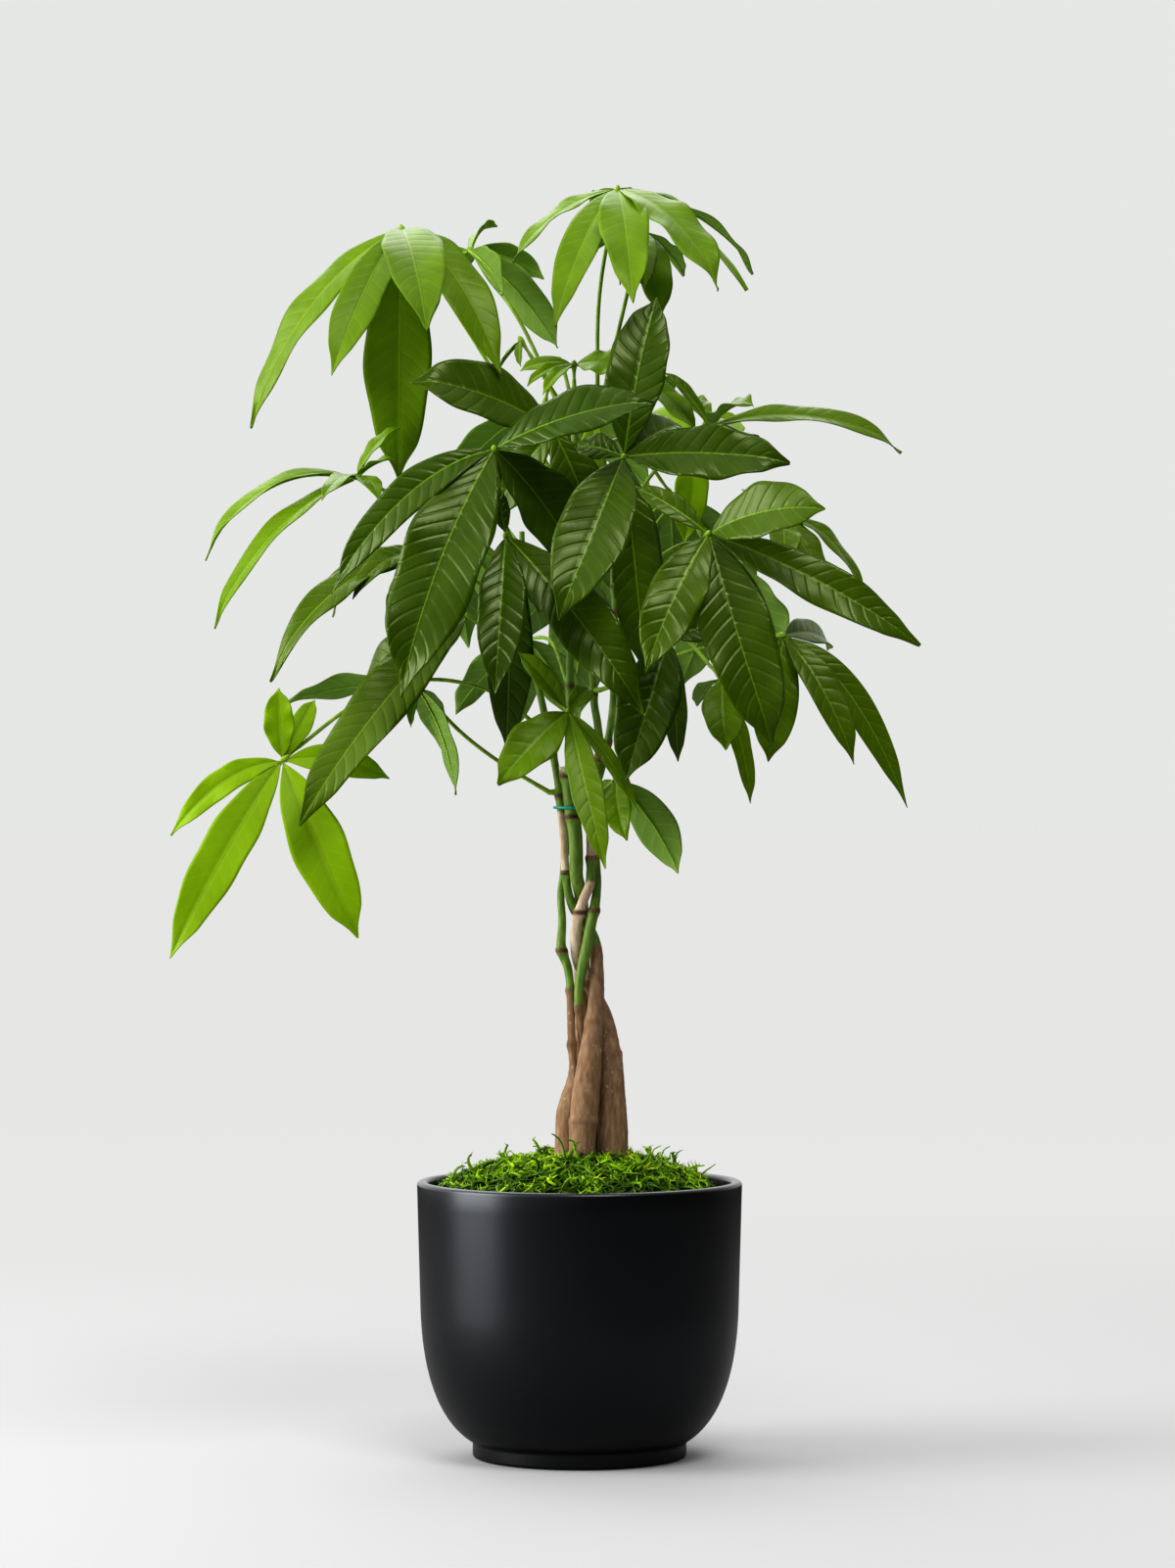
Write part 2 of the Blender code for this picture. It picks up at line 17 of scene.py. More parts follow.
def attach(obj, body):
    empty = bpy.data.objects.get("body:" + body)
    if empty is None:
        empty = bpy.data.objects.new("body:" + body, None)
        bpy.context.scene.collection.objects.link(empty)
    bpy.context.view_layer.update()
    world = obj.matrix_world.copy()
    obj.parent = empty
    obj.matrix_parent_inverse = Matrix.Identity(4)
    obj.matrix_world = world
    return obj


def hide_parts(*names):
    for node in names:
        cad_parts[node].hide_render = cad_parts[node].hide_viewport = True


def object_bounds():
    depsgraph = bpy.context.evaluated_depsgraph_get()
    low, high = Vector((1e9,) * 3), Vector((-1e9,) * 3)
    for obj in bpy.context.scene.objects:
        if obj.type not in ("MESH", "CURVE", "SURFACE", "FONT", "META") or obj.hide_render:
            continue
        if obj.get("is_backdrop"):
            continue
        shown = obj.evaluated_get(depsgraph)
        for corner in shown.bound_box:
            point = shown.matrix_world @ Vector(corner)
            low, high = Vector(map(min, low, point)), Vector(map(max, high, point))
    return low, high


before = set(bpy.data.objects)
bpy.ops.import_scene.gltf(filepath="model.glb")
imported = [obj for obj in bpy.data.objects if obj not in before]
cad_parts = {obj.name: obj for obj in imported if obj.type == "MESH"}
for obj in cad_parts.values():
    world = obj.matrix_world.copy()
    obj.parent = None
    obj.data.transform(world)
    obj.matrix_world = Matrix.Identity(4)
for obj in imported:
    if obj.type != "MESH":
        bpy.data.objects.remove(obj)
cad_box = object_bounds()
MM = 0.001
print("solids in the frame:", len(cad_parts))

# %% [markdown]
# ## Working by hand, in code
# Blender's operators act on whatever is selected, just as they do with a mouse. Small helpers
# that pick the right objects keep each later step honest. A finished piece gets its finish,
# rides on the plant's one body, and takes the place of its plain solid.

# %% Helpers for selecting, applying and placing
BODY = "root"


def select_only(*items):
    bpy.ops.object.select_all(action="DESELECT")
    for item in items:
        item.select_set(True)
    bpy.context.view_layer.objects.active = items[0]


def joined(name, items):
    select_only(*items)
    bpy.ops.object.join()
    made = bpy.context.object
    made.name = name
    return made


def faces_outwards(weld=None):
    """Weld the doubled points of the active mesh, if asked to, and turn its faces outwards."""
    bpy.ops.object.mode_set(mode="EDIT")
    bpy.ops.mesh.select_all(action="SELECT")
    if weld:
        bpy.ops.mesh.remove_doubles(threshold=weld)
    bpy.ops.mesh.normals_make_consistent(inside=False)
    bpy.ops.object.mode_set(mode="OBJECT")


def in_place(piece, slot, *nodes, finish=None):
    select_only(piece)
    bpy.ops.object.transform_apply(location=True, rotation=True, scale=True)
    if finish:
        piece.data.materials.append(finish)
    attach(piece, BODY)
    if nodes:
        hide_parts(*nodes)
    print(piece.name, "has", len(piece.data.polygons), "faces")


def smooth_step(low, high, value):
    share = np.clip((value - low) / (high - low), 0, 1)
    return share * share * (3 - 2 * share)


# %% [markdown]
# ## The camera
# The plant is seen level, from about half its height, through a long lens that keeps the
# leaves from looking stretched. The camera comes first, so that every later piece can be
# judged in the same view.

# %% Place the camera
EYE = (0.0044, -2.75, 0.372)
LENS, SENSOR = 114, 36
bpy.ops.object.select_all(action="DESELECT")
bpy.ops.object.camera_add(location=EYE, rotation=(math.pi / 2, 0, 0))
camera = bpy.context.object
camera.data.lens = LENS
camera.data.sensor_width = SENSOR
bpy.context.scene.camera = camera
print("camera stands", -EYE[1], "m away")

# %% [markdown]
# ## A small kit for materials
# Each finish here is a Principled shader fed by a few nodes: a pattern, a ramp that turns the
# pattern into colours, and a bump. Wiring them by hand takes many lines, so a helper adds a
# node, sets its values and links its inputs in one call.

# %% Helpers for building a finish
class Nodes:
    """The nodes of a material or a world, added one call at a time."""

    def __init__(self, owner):
        owner.use_nodes = True
        self.owner = owner
        self.tree = owner.node_tree

    def add(self, kind, settings=None, **inputs):
        """Inputs go by name, or by number as _0, _1 and so on."""
        node = self.tree.nodes.new("ShaderNode" + kind)
        for key, value in (settings or {}).items():
            setattr(node, key, value)
        for key, value in inputs.items():
            key = int(key[1:]) if key[1:].isdigit() else key.replace("_", " ")
            self.feed(node.inputs[key], value)
        return node

    def feed(self, socket, value):
        if isinstance(value, bpy.types.NodeSocket):
            self.tree.links.new(value, socket)
        elif isinstance(value, tuple) and len(value) < len(socket.default_value):
            socket.default_value = (*value, 1)
        else:
            socket.default_value = value

    def sum(self, operation, *values):
        node = self.add("Math", {"operation": operation})
        for socket, value in zip(node.inputs, values):
            self.feed(socket, value)
        return node.outputs[0]

    def fade(self, value, low, high, start, end, kind="SMOOTHSTEP"):
        """From start to end while the value goes from low to high."""
        return self.add("MapRange", {"interpolation_type": kind}, Value=value, From_Min=low,
                        From_Max=high, To_Min=start, To_Max=end).outputs[0]

    def ramp(self, factor, *stops):
        node = self.add("ValToRGB", Fac=factor)
        points = node.color_ramp.elements
        for i, (place, colour) in enumerate(stops):
            point = points[i] if i < 2 else points.new(place)
            point.position = place
            point.color = (*colour, 1)
        return node.outputs[0]

    def mix(self, factor, first, second):
        return self.add("Mix", {"data_type": "RGBA"}, _0=factor, _6=first, _7=second).outputs[2]

    def noise(self, scale, detail=3.0, stretch=(1, 1, 1)):
        place = self.add("TexCoord").outputs["Object"]
        if stretch != (1, 1, 1):
            place = self.add("Mapping", Vector=place, Scale=stretch).outputs[0]
        return self.add("TexNoise", Vector=place, Scale=scale, Detail=detail).outputs[0]


class Finish(Nodes):
    """A material made with the Principled shader."""

    def __init__(self, name):
        super().__init__(bpy.data.materials.new(name))
        self.shader = self.tree.nodes["Principled BSDF"]

    def surface(self, colour, roughness, bump=None, strength=0.3, depth=0.0005, gloss=0.25,
                sheen=(1, 1, 1)):
        looks = {"Base Color": colour, "Roughness": roughness, "Specular IOR Level": gloss,
                 "Specular Tint": sheen}
        if bump is not None:
            node = self.add("Bump", Height=bump, Strength=strength, Distance=depth)
            looks["Normal"] = node.outputs[0]
        for socket, value in looks.items():
            self.feed(self.shader.inputs[socket], value)
        return self.owner


print("finish helpers are ready")

# %% [markdown]
# ## The studio
# Leaves need wide, soft light: a tall panel on the left draws the long highlight down the
# pot, one from above and behind gives the glossy leaves their pale sheen and shines through
# the thin ones, and one high in front keeps the shadows open. The room is bright behind
# the plant and to its left, and dim in front, so dark glaze stays dark. That is a pale world
# whose light fades with its direction.

# %% Set the room and the lamps
WALL_WHITE = (0.67, 0.68, 0.67)
BRIGHT_SIDE = (-0.75, 0.52, 0.40)
DIM, BRIGHT = 0.05, 1.20
DIM_UNTIL, BRIGHT_FROM = -0.6, 0.7  # how far a direction turns towards the bright side


def studio_world():
    world = Nodes(bpy.data.worlds.new("studio"))
    direction = world.add("TexCoord").outputs["Generated"]
    facing = world.add("VectorMath", {"operation": "DOT_PRODUCT"}, _0=direction, _1=BRIGHT_SIDE)
    light = world.fade(facing.outputs["Value"], DIM_UNTIL, BRIGHT_FROM, DIM, BRIGHT,
                       "LINEAR")
    seen = world.mix(world.add("LightPath").outputs["Is Camera Ray"], light, WALL_WHITE)
    world.feed(world.tree.nodes["Background"].inputs["Color"], seen)
    return world.owner


def soft_panel(name, place, size, power, target=(0, 0, 0.38)):
    turn = (Vector(target) - Vector(place)).to_track_quat("-Z", "Y").to_euler()
    bpy.ops.object.light_add(type="AREA", location=place, rotation=turn)
    lamp = bpy.context.object
    lamp.name = name
    lamp.data.shape = "RECTANGLE"
    lamp.data.size, lamp.data.size_y = size
    lamp.data.energy = power


bpy.context.scene.world = studio_world()
soft_panel("window_left", (-2.0, -0.45, 0.86), (1.4, 1.7), 58, (0, 0, 0.86))
soft_panel("sky_behind", (-0.4, 1.7, 2.1), (2.2, 1.4), 26)
soft_panel("ceiling_front", (0.5, -1.5, 2.5), (1.2, 1.0), 36)

# %% [markdown]
# The floor is pale. Near the plant it takes the light and the shadow, and further off it
# fades into an even glow, so that it meets the backdrop without a hard line. Shiny pieces
# see less of it, as they would above a small table in a dim room. The plain display transform
# keeps the greens as vivid as they are in daylight, and its firmer look keeps the glaze black.

# %% Lay the floor
PAINT, GLOW = (0.41, 0.02), (0.03, 0.655)  # each near the plant and far from it
FADE = (0.4, 1.8)  # metres from the plant
FLOOR_HIDDEN = 0.6  # the share of it that reflections don't see
FLOOR_DROP = 0.0004
bpy.ops.mesh.primitive_circle_add(vertices=96, radius=30, fill_type="NGON",
                                  location=(0, 0, -FLOOR_DROP))
floor = bpy.context.object
floor.name = "studio_floor"


def pale_paint():
    paint = Finish("pale_floor")
    place = paint.add("TexCoord").outputs["Object"]
    reach = paint.add("VectorMath", {"operation": "LENGTH"}, _0=place).outputs["Value"]
    rays = paint.add("LightPath").outputs
    shown = paint.sum("MULTIPLY_ADD", rays["Is Glossy Ray"], -FLOOR_HIDDEN, 1)
    glow = paint.sum("MULTIPLY", paint.fade(reach, *FADE, *GLOW), rays["Is Camera Ray"])
    paint.feed(paint.shader.inputs["Emission Color"], (1, 1, 0.99))
    paint.feed(paint.shader.inputs["Emission Strength"], glow)
    colour = paint.sum("MULTIPLY", paint.fade(reach, *FADE, *PAINT), shown)
    return paint.surface(colour, 0.9, gloss=0)


floor.data.materials.append(pale_paint())
floor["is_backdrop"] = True
bpy.context.scene.view_settings.view_transform = "Standard"
bpy.context.scene.view_settings.look = "Medium High Contrast"
print(floor.name)

# %% [markdown]
# ## Black glazed clay
# The pot has a fine, even, almost rubbery black glaze. It isn't a mirror: its highlight is a
# broad soft band. A little slow mottling in the roughness and a very fine grain in the bump
# keep such a plain surface from looking like plastic.

# %% Mix the pot's glaze
def pot_glaze():
    glaze = Finish("matte_black_glaze")
    clouds = glaze.noise(18, 4)
    grain = glaze.noise(1400, 2)
    colour = glaze.ramp(clouds, (0.3, (0.0010, 0.0010, 0.0013)), (0.75, (0.0018, 0.0018, 0.0022)))
    roughness = glaze.sum("MULTIPLY_ADD", clouds, 0.06, 0.27)
    return glaze.surface(colour, roughness, grain, 0.12, 0.0002, 0.52, (0.88, 0.93, 1.0))


black_glaze = pot_glaze()
print(black_glaze.name)

# %% [markdown]
# ## The pot
# The cachepot is a turned form: a small foot, a belly that swells out of it, a nearly upright
# wall and a softly rounded lip. It could be lathed from a profile curve. Growing it from a
# disc, one ring of faces at a time, shows better how a potter raises it: out along the foot,
# up the belly, over the lip, and down the inside to the floor.

# %% Lay out the pot's profile
RIM_RADIUS = 90 * MM
POT_HEIGHT = 152.4 * MM
LIP_ROUND = 2.2 * MM
WALL = 6 * MM
FOOT_RADIUS = 59.2 * MM
FLOOR_HEIGHT = 12 * MM
SHOULDER = (88.2 * MM, 85.4 * MM)
BELLY_PULLS = ((87.5 * MM, 46 * MM), (78 * MM, 20 * MM))
FOOT_NECK = (60.4 * MM, 9 * MM)
FOOT_ROUND = 1.6 * MM
NECK_ROUND = 1.9 * MM
NECK_CENTRE = (FOOT_NECK[0] + 0.7 * MM, 7.2 * MM)
FLOOR_RADIUS = 42 * MM
FOOT_RISE = 6.5 * MM  # how much higher the belly starts inside than outside


def bezier(points, t):
    points = [Vector(p) for p in points]
    while len(points) > 1:
        points = [a.lerp(b, t) for a, b in zip(points, points[1:])]
    return points[0]


def arc(centre, radius, first, last, steps):
    """Points round a centre, from the first angle to the last, in degrees."""
    angles = [math.radians(first + (last - first) * i / steps) for i in range(steps + 1)]
    return [(centre[0] + radius * math.cos(a), centre[1] + radius * math.sin(a)) for a in angles]


def belly(steps):
    return [tuple(bezier([FOOT_NECK, BELLY_PULLS[1], BELLY_PULLS[0], SHOULDER], i / steps))
            for i in range(steps + 1)]


def pot_profile():
    lip = POT_HEIGHT - LIP_ROUND
    foot = arc((FOOT_RADIUS - FOOT_ROUND, FOOT_ROUND), FOOT_ROUND, -90, 0, 5)
    neck = arc(NECK_CENTRE, NECK_ROUND, 180, 115, 5)
    outside = [SHOULDER[0] + (RIM_RADIUS - SHOULDER[0]) * i / 6 for i in range(1, 6)]
    wall = [(r, SHOULDER[1] + (lip - SHOULDER[1]) * i / 6) for i, r in enumerate(outside, 1)]
    over = arc((RIM_RADIUS - LIP_ROUND, lip), LIP_ROUND, 0, 90, 6)
    back = arc((RIM_RADIUS - WALL + LIP_ROUND, lip), LIP_ROUND, 90, 180, 6)
    inside = [(r - WALL, z + FOOT_RISE * (1 - i / 12)) for i, (r, z) in enumerate(belly(12))]
    floor_edge = (FLOOR_RADIUS, FLOOR_HEIGHT)
    return [*foot, *neck, *belly(26)[1:], *wall, *over, *back, *reversed(inside), floor_edge]


print("the pot's profile has", len(pot_profile()), "points")

# %% [markdown]
# A disc is added at the foot's radius, and its rim is then extruded and scaled once for each
# point of the profile. The first and last discs close the foot and the floor, so the clay is
# one watertight body with a real wall.

# %% Raise the pot from a disc
RING = 128


def raised(name, profile, sides=RING):
    """A round body grown ring by ring from a disc: each point is a radius and a height."""
    radius, height = profile[0]
    bpy.ops.object.select_all(action="DESELECT")
    bpy.ops.mesh.primitive_circle_add(vertices=sides, radius=radius, fill_type="NGON",
                                      location=(0, 0, height))
    made = bpy.context.object
    made.name = name
    bpy.ops.object.mode_set(mode="EDIT")
    bpy.ops.mesh.select_all(action="SELECT")
    for wider, higher in profile[1:]:
        bpy.ops.mesh.extrude_region_move(
            TRANSFORM_OT_translate={"value": (0, 0, higher - height)})
        scale = wider / radius
        bpy.ops.transform.resize(value=(scale, scale, 1), center_override=(0, 0, higher))
        radius, height = wider, higher
    faces_outwards()
    select_only(made)
    bpy.ops.object.transform_apply(location=True, rotation=True, scale=True)
    return made


pot = raised("cachepot", pot_profile())
bpy.ops.object.shade_smooth_by_angle(angle=math.radians(40))
in_place(pot, "matte_black_ceramic", "pot", finish=black_glaze)

# %% [markdown]
# ## The soil
# Only a narrow ring of potting mix shows between the moss and the clay, so it can be a plug
# raised like the pot. Its top is broken up into crumbs by pushing each point up or down by a
# little coherent noise, which keeps neighbouring points together as real crumbs do.

# %% Fill the pot with soil
SOIL_HEIGHT = 140 * MM
SOIL_FOOT, SOIL_EDGE, SOIL_CENTRE = 41.5 * MM, 83.1 * MM, 30 * MM  # radii
SOIL_STEP = 1.5 * MM  # from one ring of crumbs to the next
GAP = 0.3 * MM
CRUMB, SETTLED = 1.3 * MM, 0.6 * MM


def soil_profile():
    inner = [(r - WALL - GAP, z + (FOOT_RISE + GAP) * (1 - i / 6))
             for i, (r, z) in enumerate(belly(6))]
    top = [(SOIL_EDGE - SOIL_STEP * i, SOIL_HEIGHT) for i in range(17)]
    return [(SOIL_FOOT, FLOOR_HEIGHT + GAP), *inner, *top, (SOIL_CENTRE, SOIL_HEIGHT)]


def soil_mix():
    earth = Finish("damp_potting_mix")
    crumbs = earth.noise(520, 4)
    colour = earth.ramp(crumbs, (0.3, (0.010, 0.006, 0.004)), (0.7, (0.055, 0.034, 0.02)))
    return earth.surface(colour, 0.95, crumbs, 0.8, 0.001)


soil = raised("potting_mix", soil_profile(), 160)
for vert in soil.data.vertices:
    if vert.co.z > SOIL_HEIGHT - MM:
        vert.co.z += CRUMB * noise.noise(vert.co * 420) - SETTLED
bpy.ops.object.shade_smooth_by_angle(angle=math.radians(60))
in_place(soil, "potting_soil", "soil", finish=soil_mix())

# %% [markdown]
# ## Bark and green shoots
# The stems are brown and corky near the moss, and turn to smooth green or pale tan shoots
# higher up. Each stretch begins at a ring, where a leaf once grew. One finish can show all
# three skins if every point of the stem carries three numbers: how green it is, how pale,
# and how close to a ring.

# %% Mix the skin of the stems
def stem_skin():
    skin = Finish("bark_and_shoot_skin")
    data = skin.add("Attribute", {"attribute_name": "skin"}).outputs["Vector"]
    green, pale, ring = skin.add("SeparateXYZ", Vector=data).outputs
    streaks = skin.noise(430, 5, (1, 1, 0.28))
    patches = skin.noise(75, 3)
    place = skin.add("TexCoord").outputs["Object"]
    place = skin.add("Mapping", Vector=place, Scale=(1, 1, 0.7)).outputs[0]
    spots = skin.add("TexVoronoi", Vector=place, Scale=330.0).outputs["Distance"]
    lenticels = skin.ramp(spots, (0.12, (1, 1, 1)), (0.24, (0, 0, 0)))
    rare = skin.ramp(patches, (0.50, (0, 0, 0)), (0.60, (1, 1, 1)))
    lenticels = skin.sum("MULTIPLY", lenticels, rare)
    bark = skin.ramp(streaks, (0.28, (0.115, 0.056, 0.026)), (0.5, (0.225, 0.125, 0.060)),
                     (0.74, (0.37, 0.235, 0.125)))
    bark = skin.mix(skin.sum("MULTIPLY", patches, 0.5), bark, (0.24, 0.165, 0.10))
    bark = skin.mix(lenticels, bark, (0.44, 0.31, 0.18))
    tan = skin.ramp(streaks, (0.25, (0.36, 0.24, 0.14)), (0.7, (0.68, 0.56, 0.40)))
    shoot = skin.ramp(streaks, (0.25, (0.065, 0.140, 0.012)), (0.75, (0.21, 0.33, 0.055)))
    colour = skin.mix(pale, skin.mix(green, bark, shoot), tan)
    scar = skin.ramp(patches, (0.40, (0.050, 0.012, 0.007)), (0.72, (0.26, 0.14, 0.07)))
    colour = skin.mix(ring, colour, scar)
    roughness = skin.sum("MULTIPLY_ADD", green, -0.30, 0.80)
    bump = skin.sum("MULTIPLY_ADD", lenticels, 0.5, streaks)
    return skin.surface(colour, roughness, bump, 0.35, 0.0005)


skin_finish = stem_skin()
print(skin_finish.name)

# %% [markdown]
# ## How the stems run
# Five stems leave the soil side by side, cross over and under each other, and rise through
# the tie. Each is a list of points with the stem's radius at each one, in millimetres, and
# the same points as the plain solids have. A smooth curve through them gives the route.

# %% List the routes of the stems
STEMS = {
    "front": [(0, -12, 112, 6.6), (1, -11, 150, 6.4), (1.5, -10.5, 172, 6.2), (3, -9.5, 195, 6.4),
        (5.5, -8.5, 218, 6.2), (8.3, -5.6, 243, 4.8), (9.5, -2, 263, 4.1), (9, 2, 280, 3.6),
        (6, 4.5, 290, 3.2), (1, 4.5, 297, 2.9), (-3.3, 4.3, 303, 2.6), (-5.8, 3.2, 310, 2.4),
        (-7, 2, 316, 2.3), (-7.6, 1, 322, 2.3), (-8.2, 0.5, 330, 2.3), (-9, 0.5, 345, 2.3),
        (-10.3, 0.5, 359, 2.4), (-12, 0.5, 374, 2.2), (-15, 1, 390, 2.1), (-21, 1, 418, 2),
        (-27, 1, 445, 1.9), (-31, 2, 470, 1.8), (-32, 4, 512, 1.5)],
    "right": [(20, -3, 112, 7.6), (19, -3, 150, 7.6), (18.5, -2, 172, 7.2), (18.2, -1, 195, 5.6),
        (17.5, 0.5, 218, 5.4), (14.5, 4, 240, 4.6), (8, 5.5, 256, 3.8), (0.3, 4, 270, 3.3),
        (-2.2, -0.5, 284, 3), (-0.5, -2.8, 299, 2.9), (2.2, -4, 308, 2.7),
        (5.6, -3.6, 316, 2.7), (6.4, -2.2, 323, 2.7), (6.6, -1.5, 332, 2.8),
        (6.4, -1.5, 345, 2.8), (5.8, -2, 359, 2.8), (9, -1, 372, 2.6), (11.5, 0, 388, 2.5),
        (10, 0.5, 405, 2.2), (7.5, 0, 424, 2.1), (7, 0, 470, 2), (6, 1, 500, 1.9),
        (4, 1.5, 540, 1.8), (5, 3, 590, 1.6)],
    "left": [(-9, 0.5, 112, 6.8), (-8, 0.5, 150, 6.8), (-7, 1.5, 172, 6.4), (-6.5, 3.5, 190, 5.8),
        (-2, 6.5, 205, 5.4), (0, 9, 218, 5.2), (2, 12, 240, 4.8), (1.5, 13, 262, 4.4),
        (0.5, 12.6, 290, 4.1), (1, 11.5, 302, 3.9), (0.7, 6.5, 310, 3.7), (-0.6, 1.2, 316, 3.7),
        (-1.8, -3.6, 322, 3.7), (-1.8, -5.2, 330, 3.8), (-2.4, -5.5, 345, 3.9),
        (-4.5, -5, 359, 4), (-5.6, -5, 372, 4.4), (-7, -5, 382, 4.6)],
    "thin_left": [(3, 4, 112, 2.5), (2.5, 3, 150, 2.5), (2, 1.5, 172, 2.4), (1.5, 0, 190, 2.3),
        (0, -1.5, 205, 2.2), (-3.2, -2.5, 214, 2.2), (-4.6, -1.7, 234, 2.2), (-5, -1, 257, 2.2),
        (-6.5, 0, 270, 2.4), (-10.1, 0, 281, 2.7), (-9.6, 0.5, 296, 2.2), (-10.4, 4.8, 310, 2.1),
        (-9, 7, 322, 2.1), (-8, 7, 332, 2.1), (-6.5, 6.8, 345, 2.1), (-5, 6.2, 359, 2.2),
        (-5.5, 7, 383, 2.3), (-5.4, 8, 420, 2.3), (-5, 8, 470, 2.2), (-3, 6, 532, 2),
        (-3, 3, 592, 1.7)],
    "thin_right": [(10.5, 10, 112, 3.2), (10.5, 9, 150, 3.2), (10.2, 7.5, 172, 3),
        (9, 5, 190, 2.6), (7, 2.6, 205, 2.3), (4, 1, 218, 2.1), (1.6, -0.5, 230, 2),
        (0, -3, 243, 2.1), (-0.5, -4, 256, 2.5), (1, -5, 268, 2.7), (3.5, -5, 280, 3),
        (6.5, -4.5, 295, 2.9), (8.2, -3, 303, 2.8), (9.6, 1.2, 314, 2.4), (9.4, 4, 324, 2.4),
        (7.5, 6, 345, 2.4), (5, 6.5, 359, 2.3), (12, 11, 380, 2.2), (18, 17, 410, 2.1),
        (20, 23, 450, 2), (19, 26, 490, 1.8), (18, 27, 515, 1.5)],
}


def smooth_route(points, steps):
    """Points on the Catmull-Rom curve through the given ones, steps to each stretch."""
    points = [Vector(p) for p in points]
    ends = [2 * points[0] - points[1], *points, 2 * points[-1] - points[-2]]
    route = []
    for a, b, c, d in zip(ends, ends[1:], ends[2:], ends[3:]):
        for i in range(steps):
            t = i / steps
            route.append(0.5 * (2 * b + (c - a) * t + (2 * a - 5 * b + 4 * c - d) * t**2
                                + (3 * b - a - 3 * c + d) * t**3))
    return route + [points[-1]]


print("stems:", ", ".join(STEMS))

# %% [markdown]
# ## Rods along a route
# Stems, stalks and wire are all rods: a round section carried along a line, thick in some
# places and thin in others. A curve with a bevel does just that. Turned into a mesh and with
# its end caps welded on, the rod is a closed body that can be carved further.

# %% A helper that draws rods
WELD = 0.02 * MM


def rods(name, routes, sides=8):
    """One mesh with a rod along each route, which is a list of x, y, z and radius in mm."""
    bpy.ops.object.select_all(action="DESELECT")
    bpy.ops.curve.primitive_nurbs_path_add(location=(0, 0, 0))
    made = bpy.context.object
    made.name = name
    curve = made.data
    curve.splines.clear()
    curve.bevel_depth = MM
    curve.bevel_resolution = (sides - 4) // 2
    curve.use_fill_caps = True
    for route in routes:
        spline = curve.splines.new("POLY")
        spline.points.add(len(route) - 1)
        for point, (x, y, z, radius) in zip(spline.points, route):
            point.co = (x * MM, y * MM, z * MM, 1)
            point.radius = radius
    bpy.ops.object.convert(target="MESH")
    made = bpy.context.object
    faces_outwards(WELD)
    bpy.ops.object.shade_smooth_by_angle(angle=math.radians(50))
    return made


print("rods can be drawn")

# %% [markdown]
# ## How the leaves hang
# Each hand-shaped leaf has one stalk, a small knob at its end, and a fan of leaflets. The
# list says which stem bears it and at what height, where its knob is, which way its upper
# side looks, its age, its quilting, where the stalk passes, and for each leaflet the step
# from the knob to the tip and the greatest width, with two more numbers where it sags or is
# turned in its own way. Leaves are lime and thin when young, at age 0, and deep green and
# glossy when old, at age 1. Quilting is the height in millimetres of the soft pillows
# between the side veins.

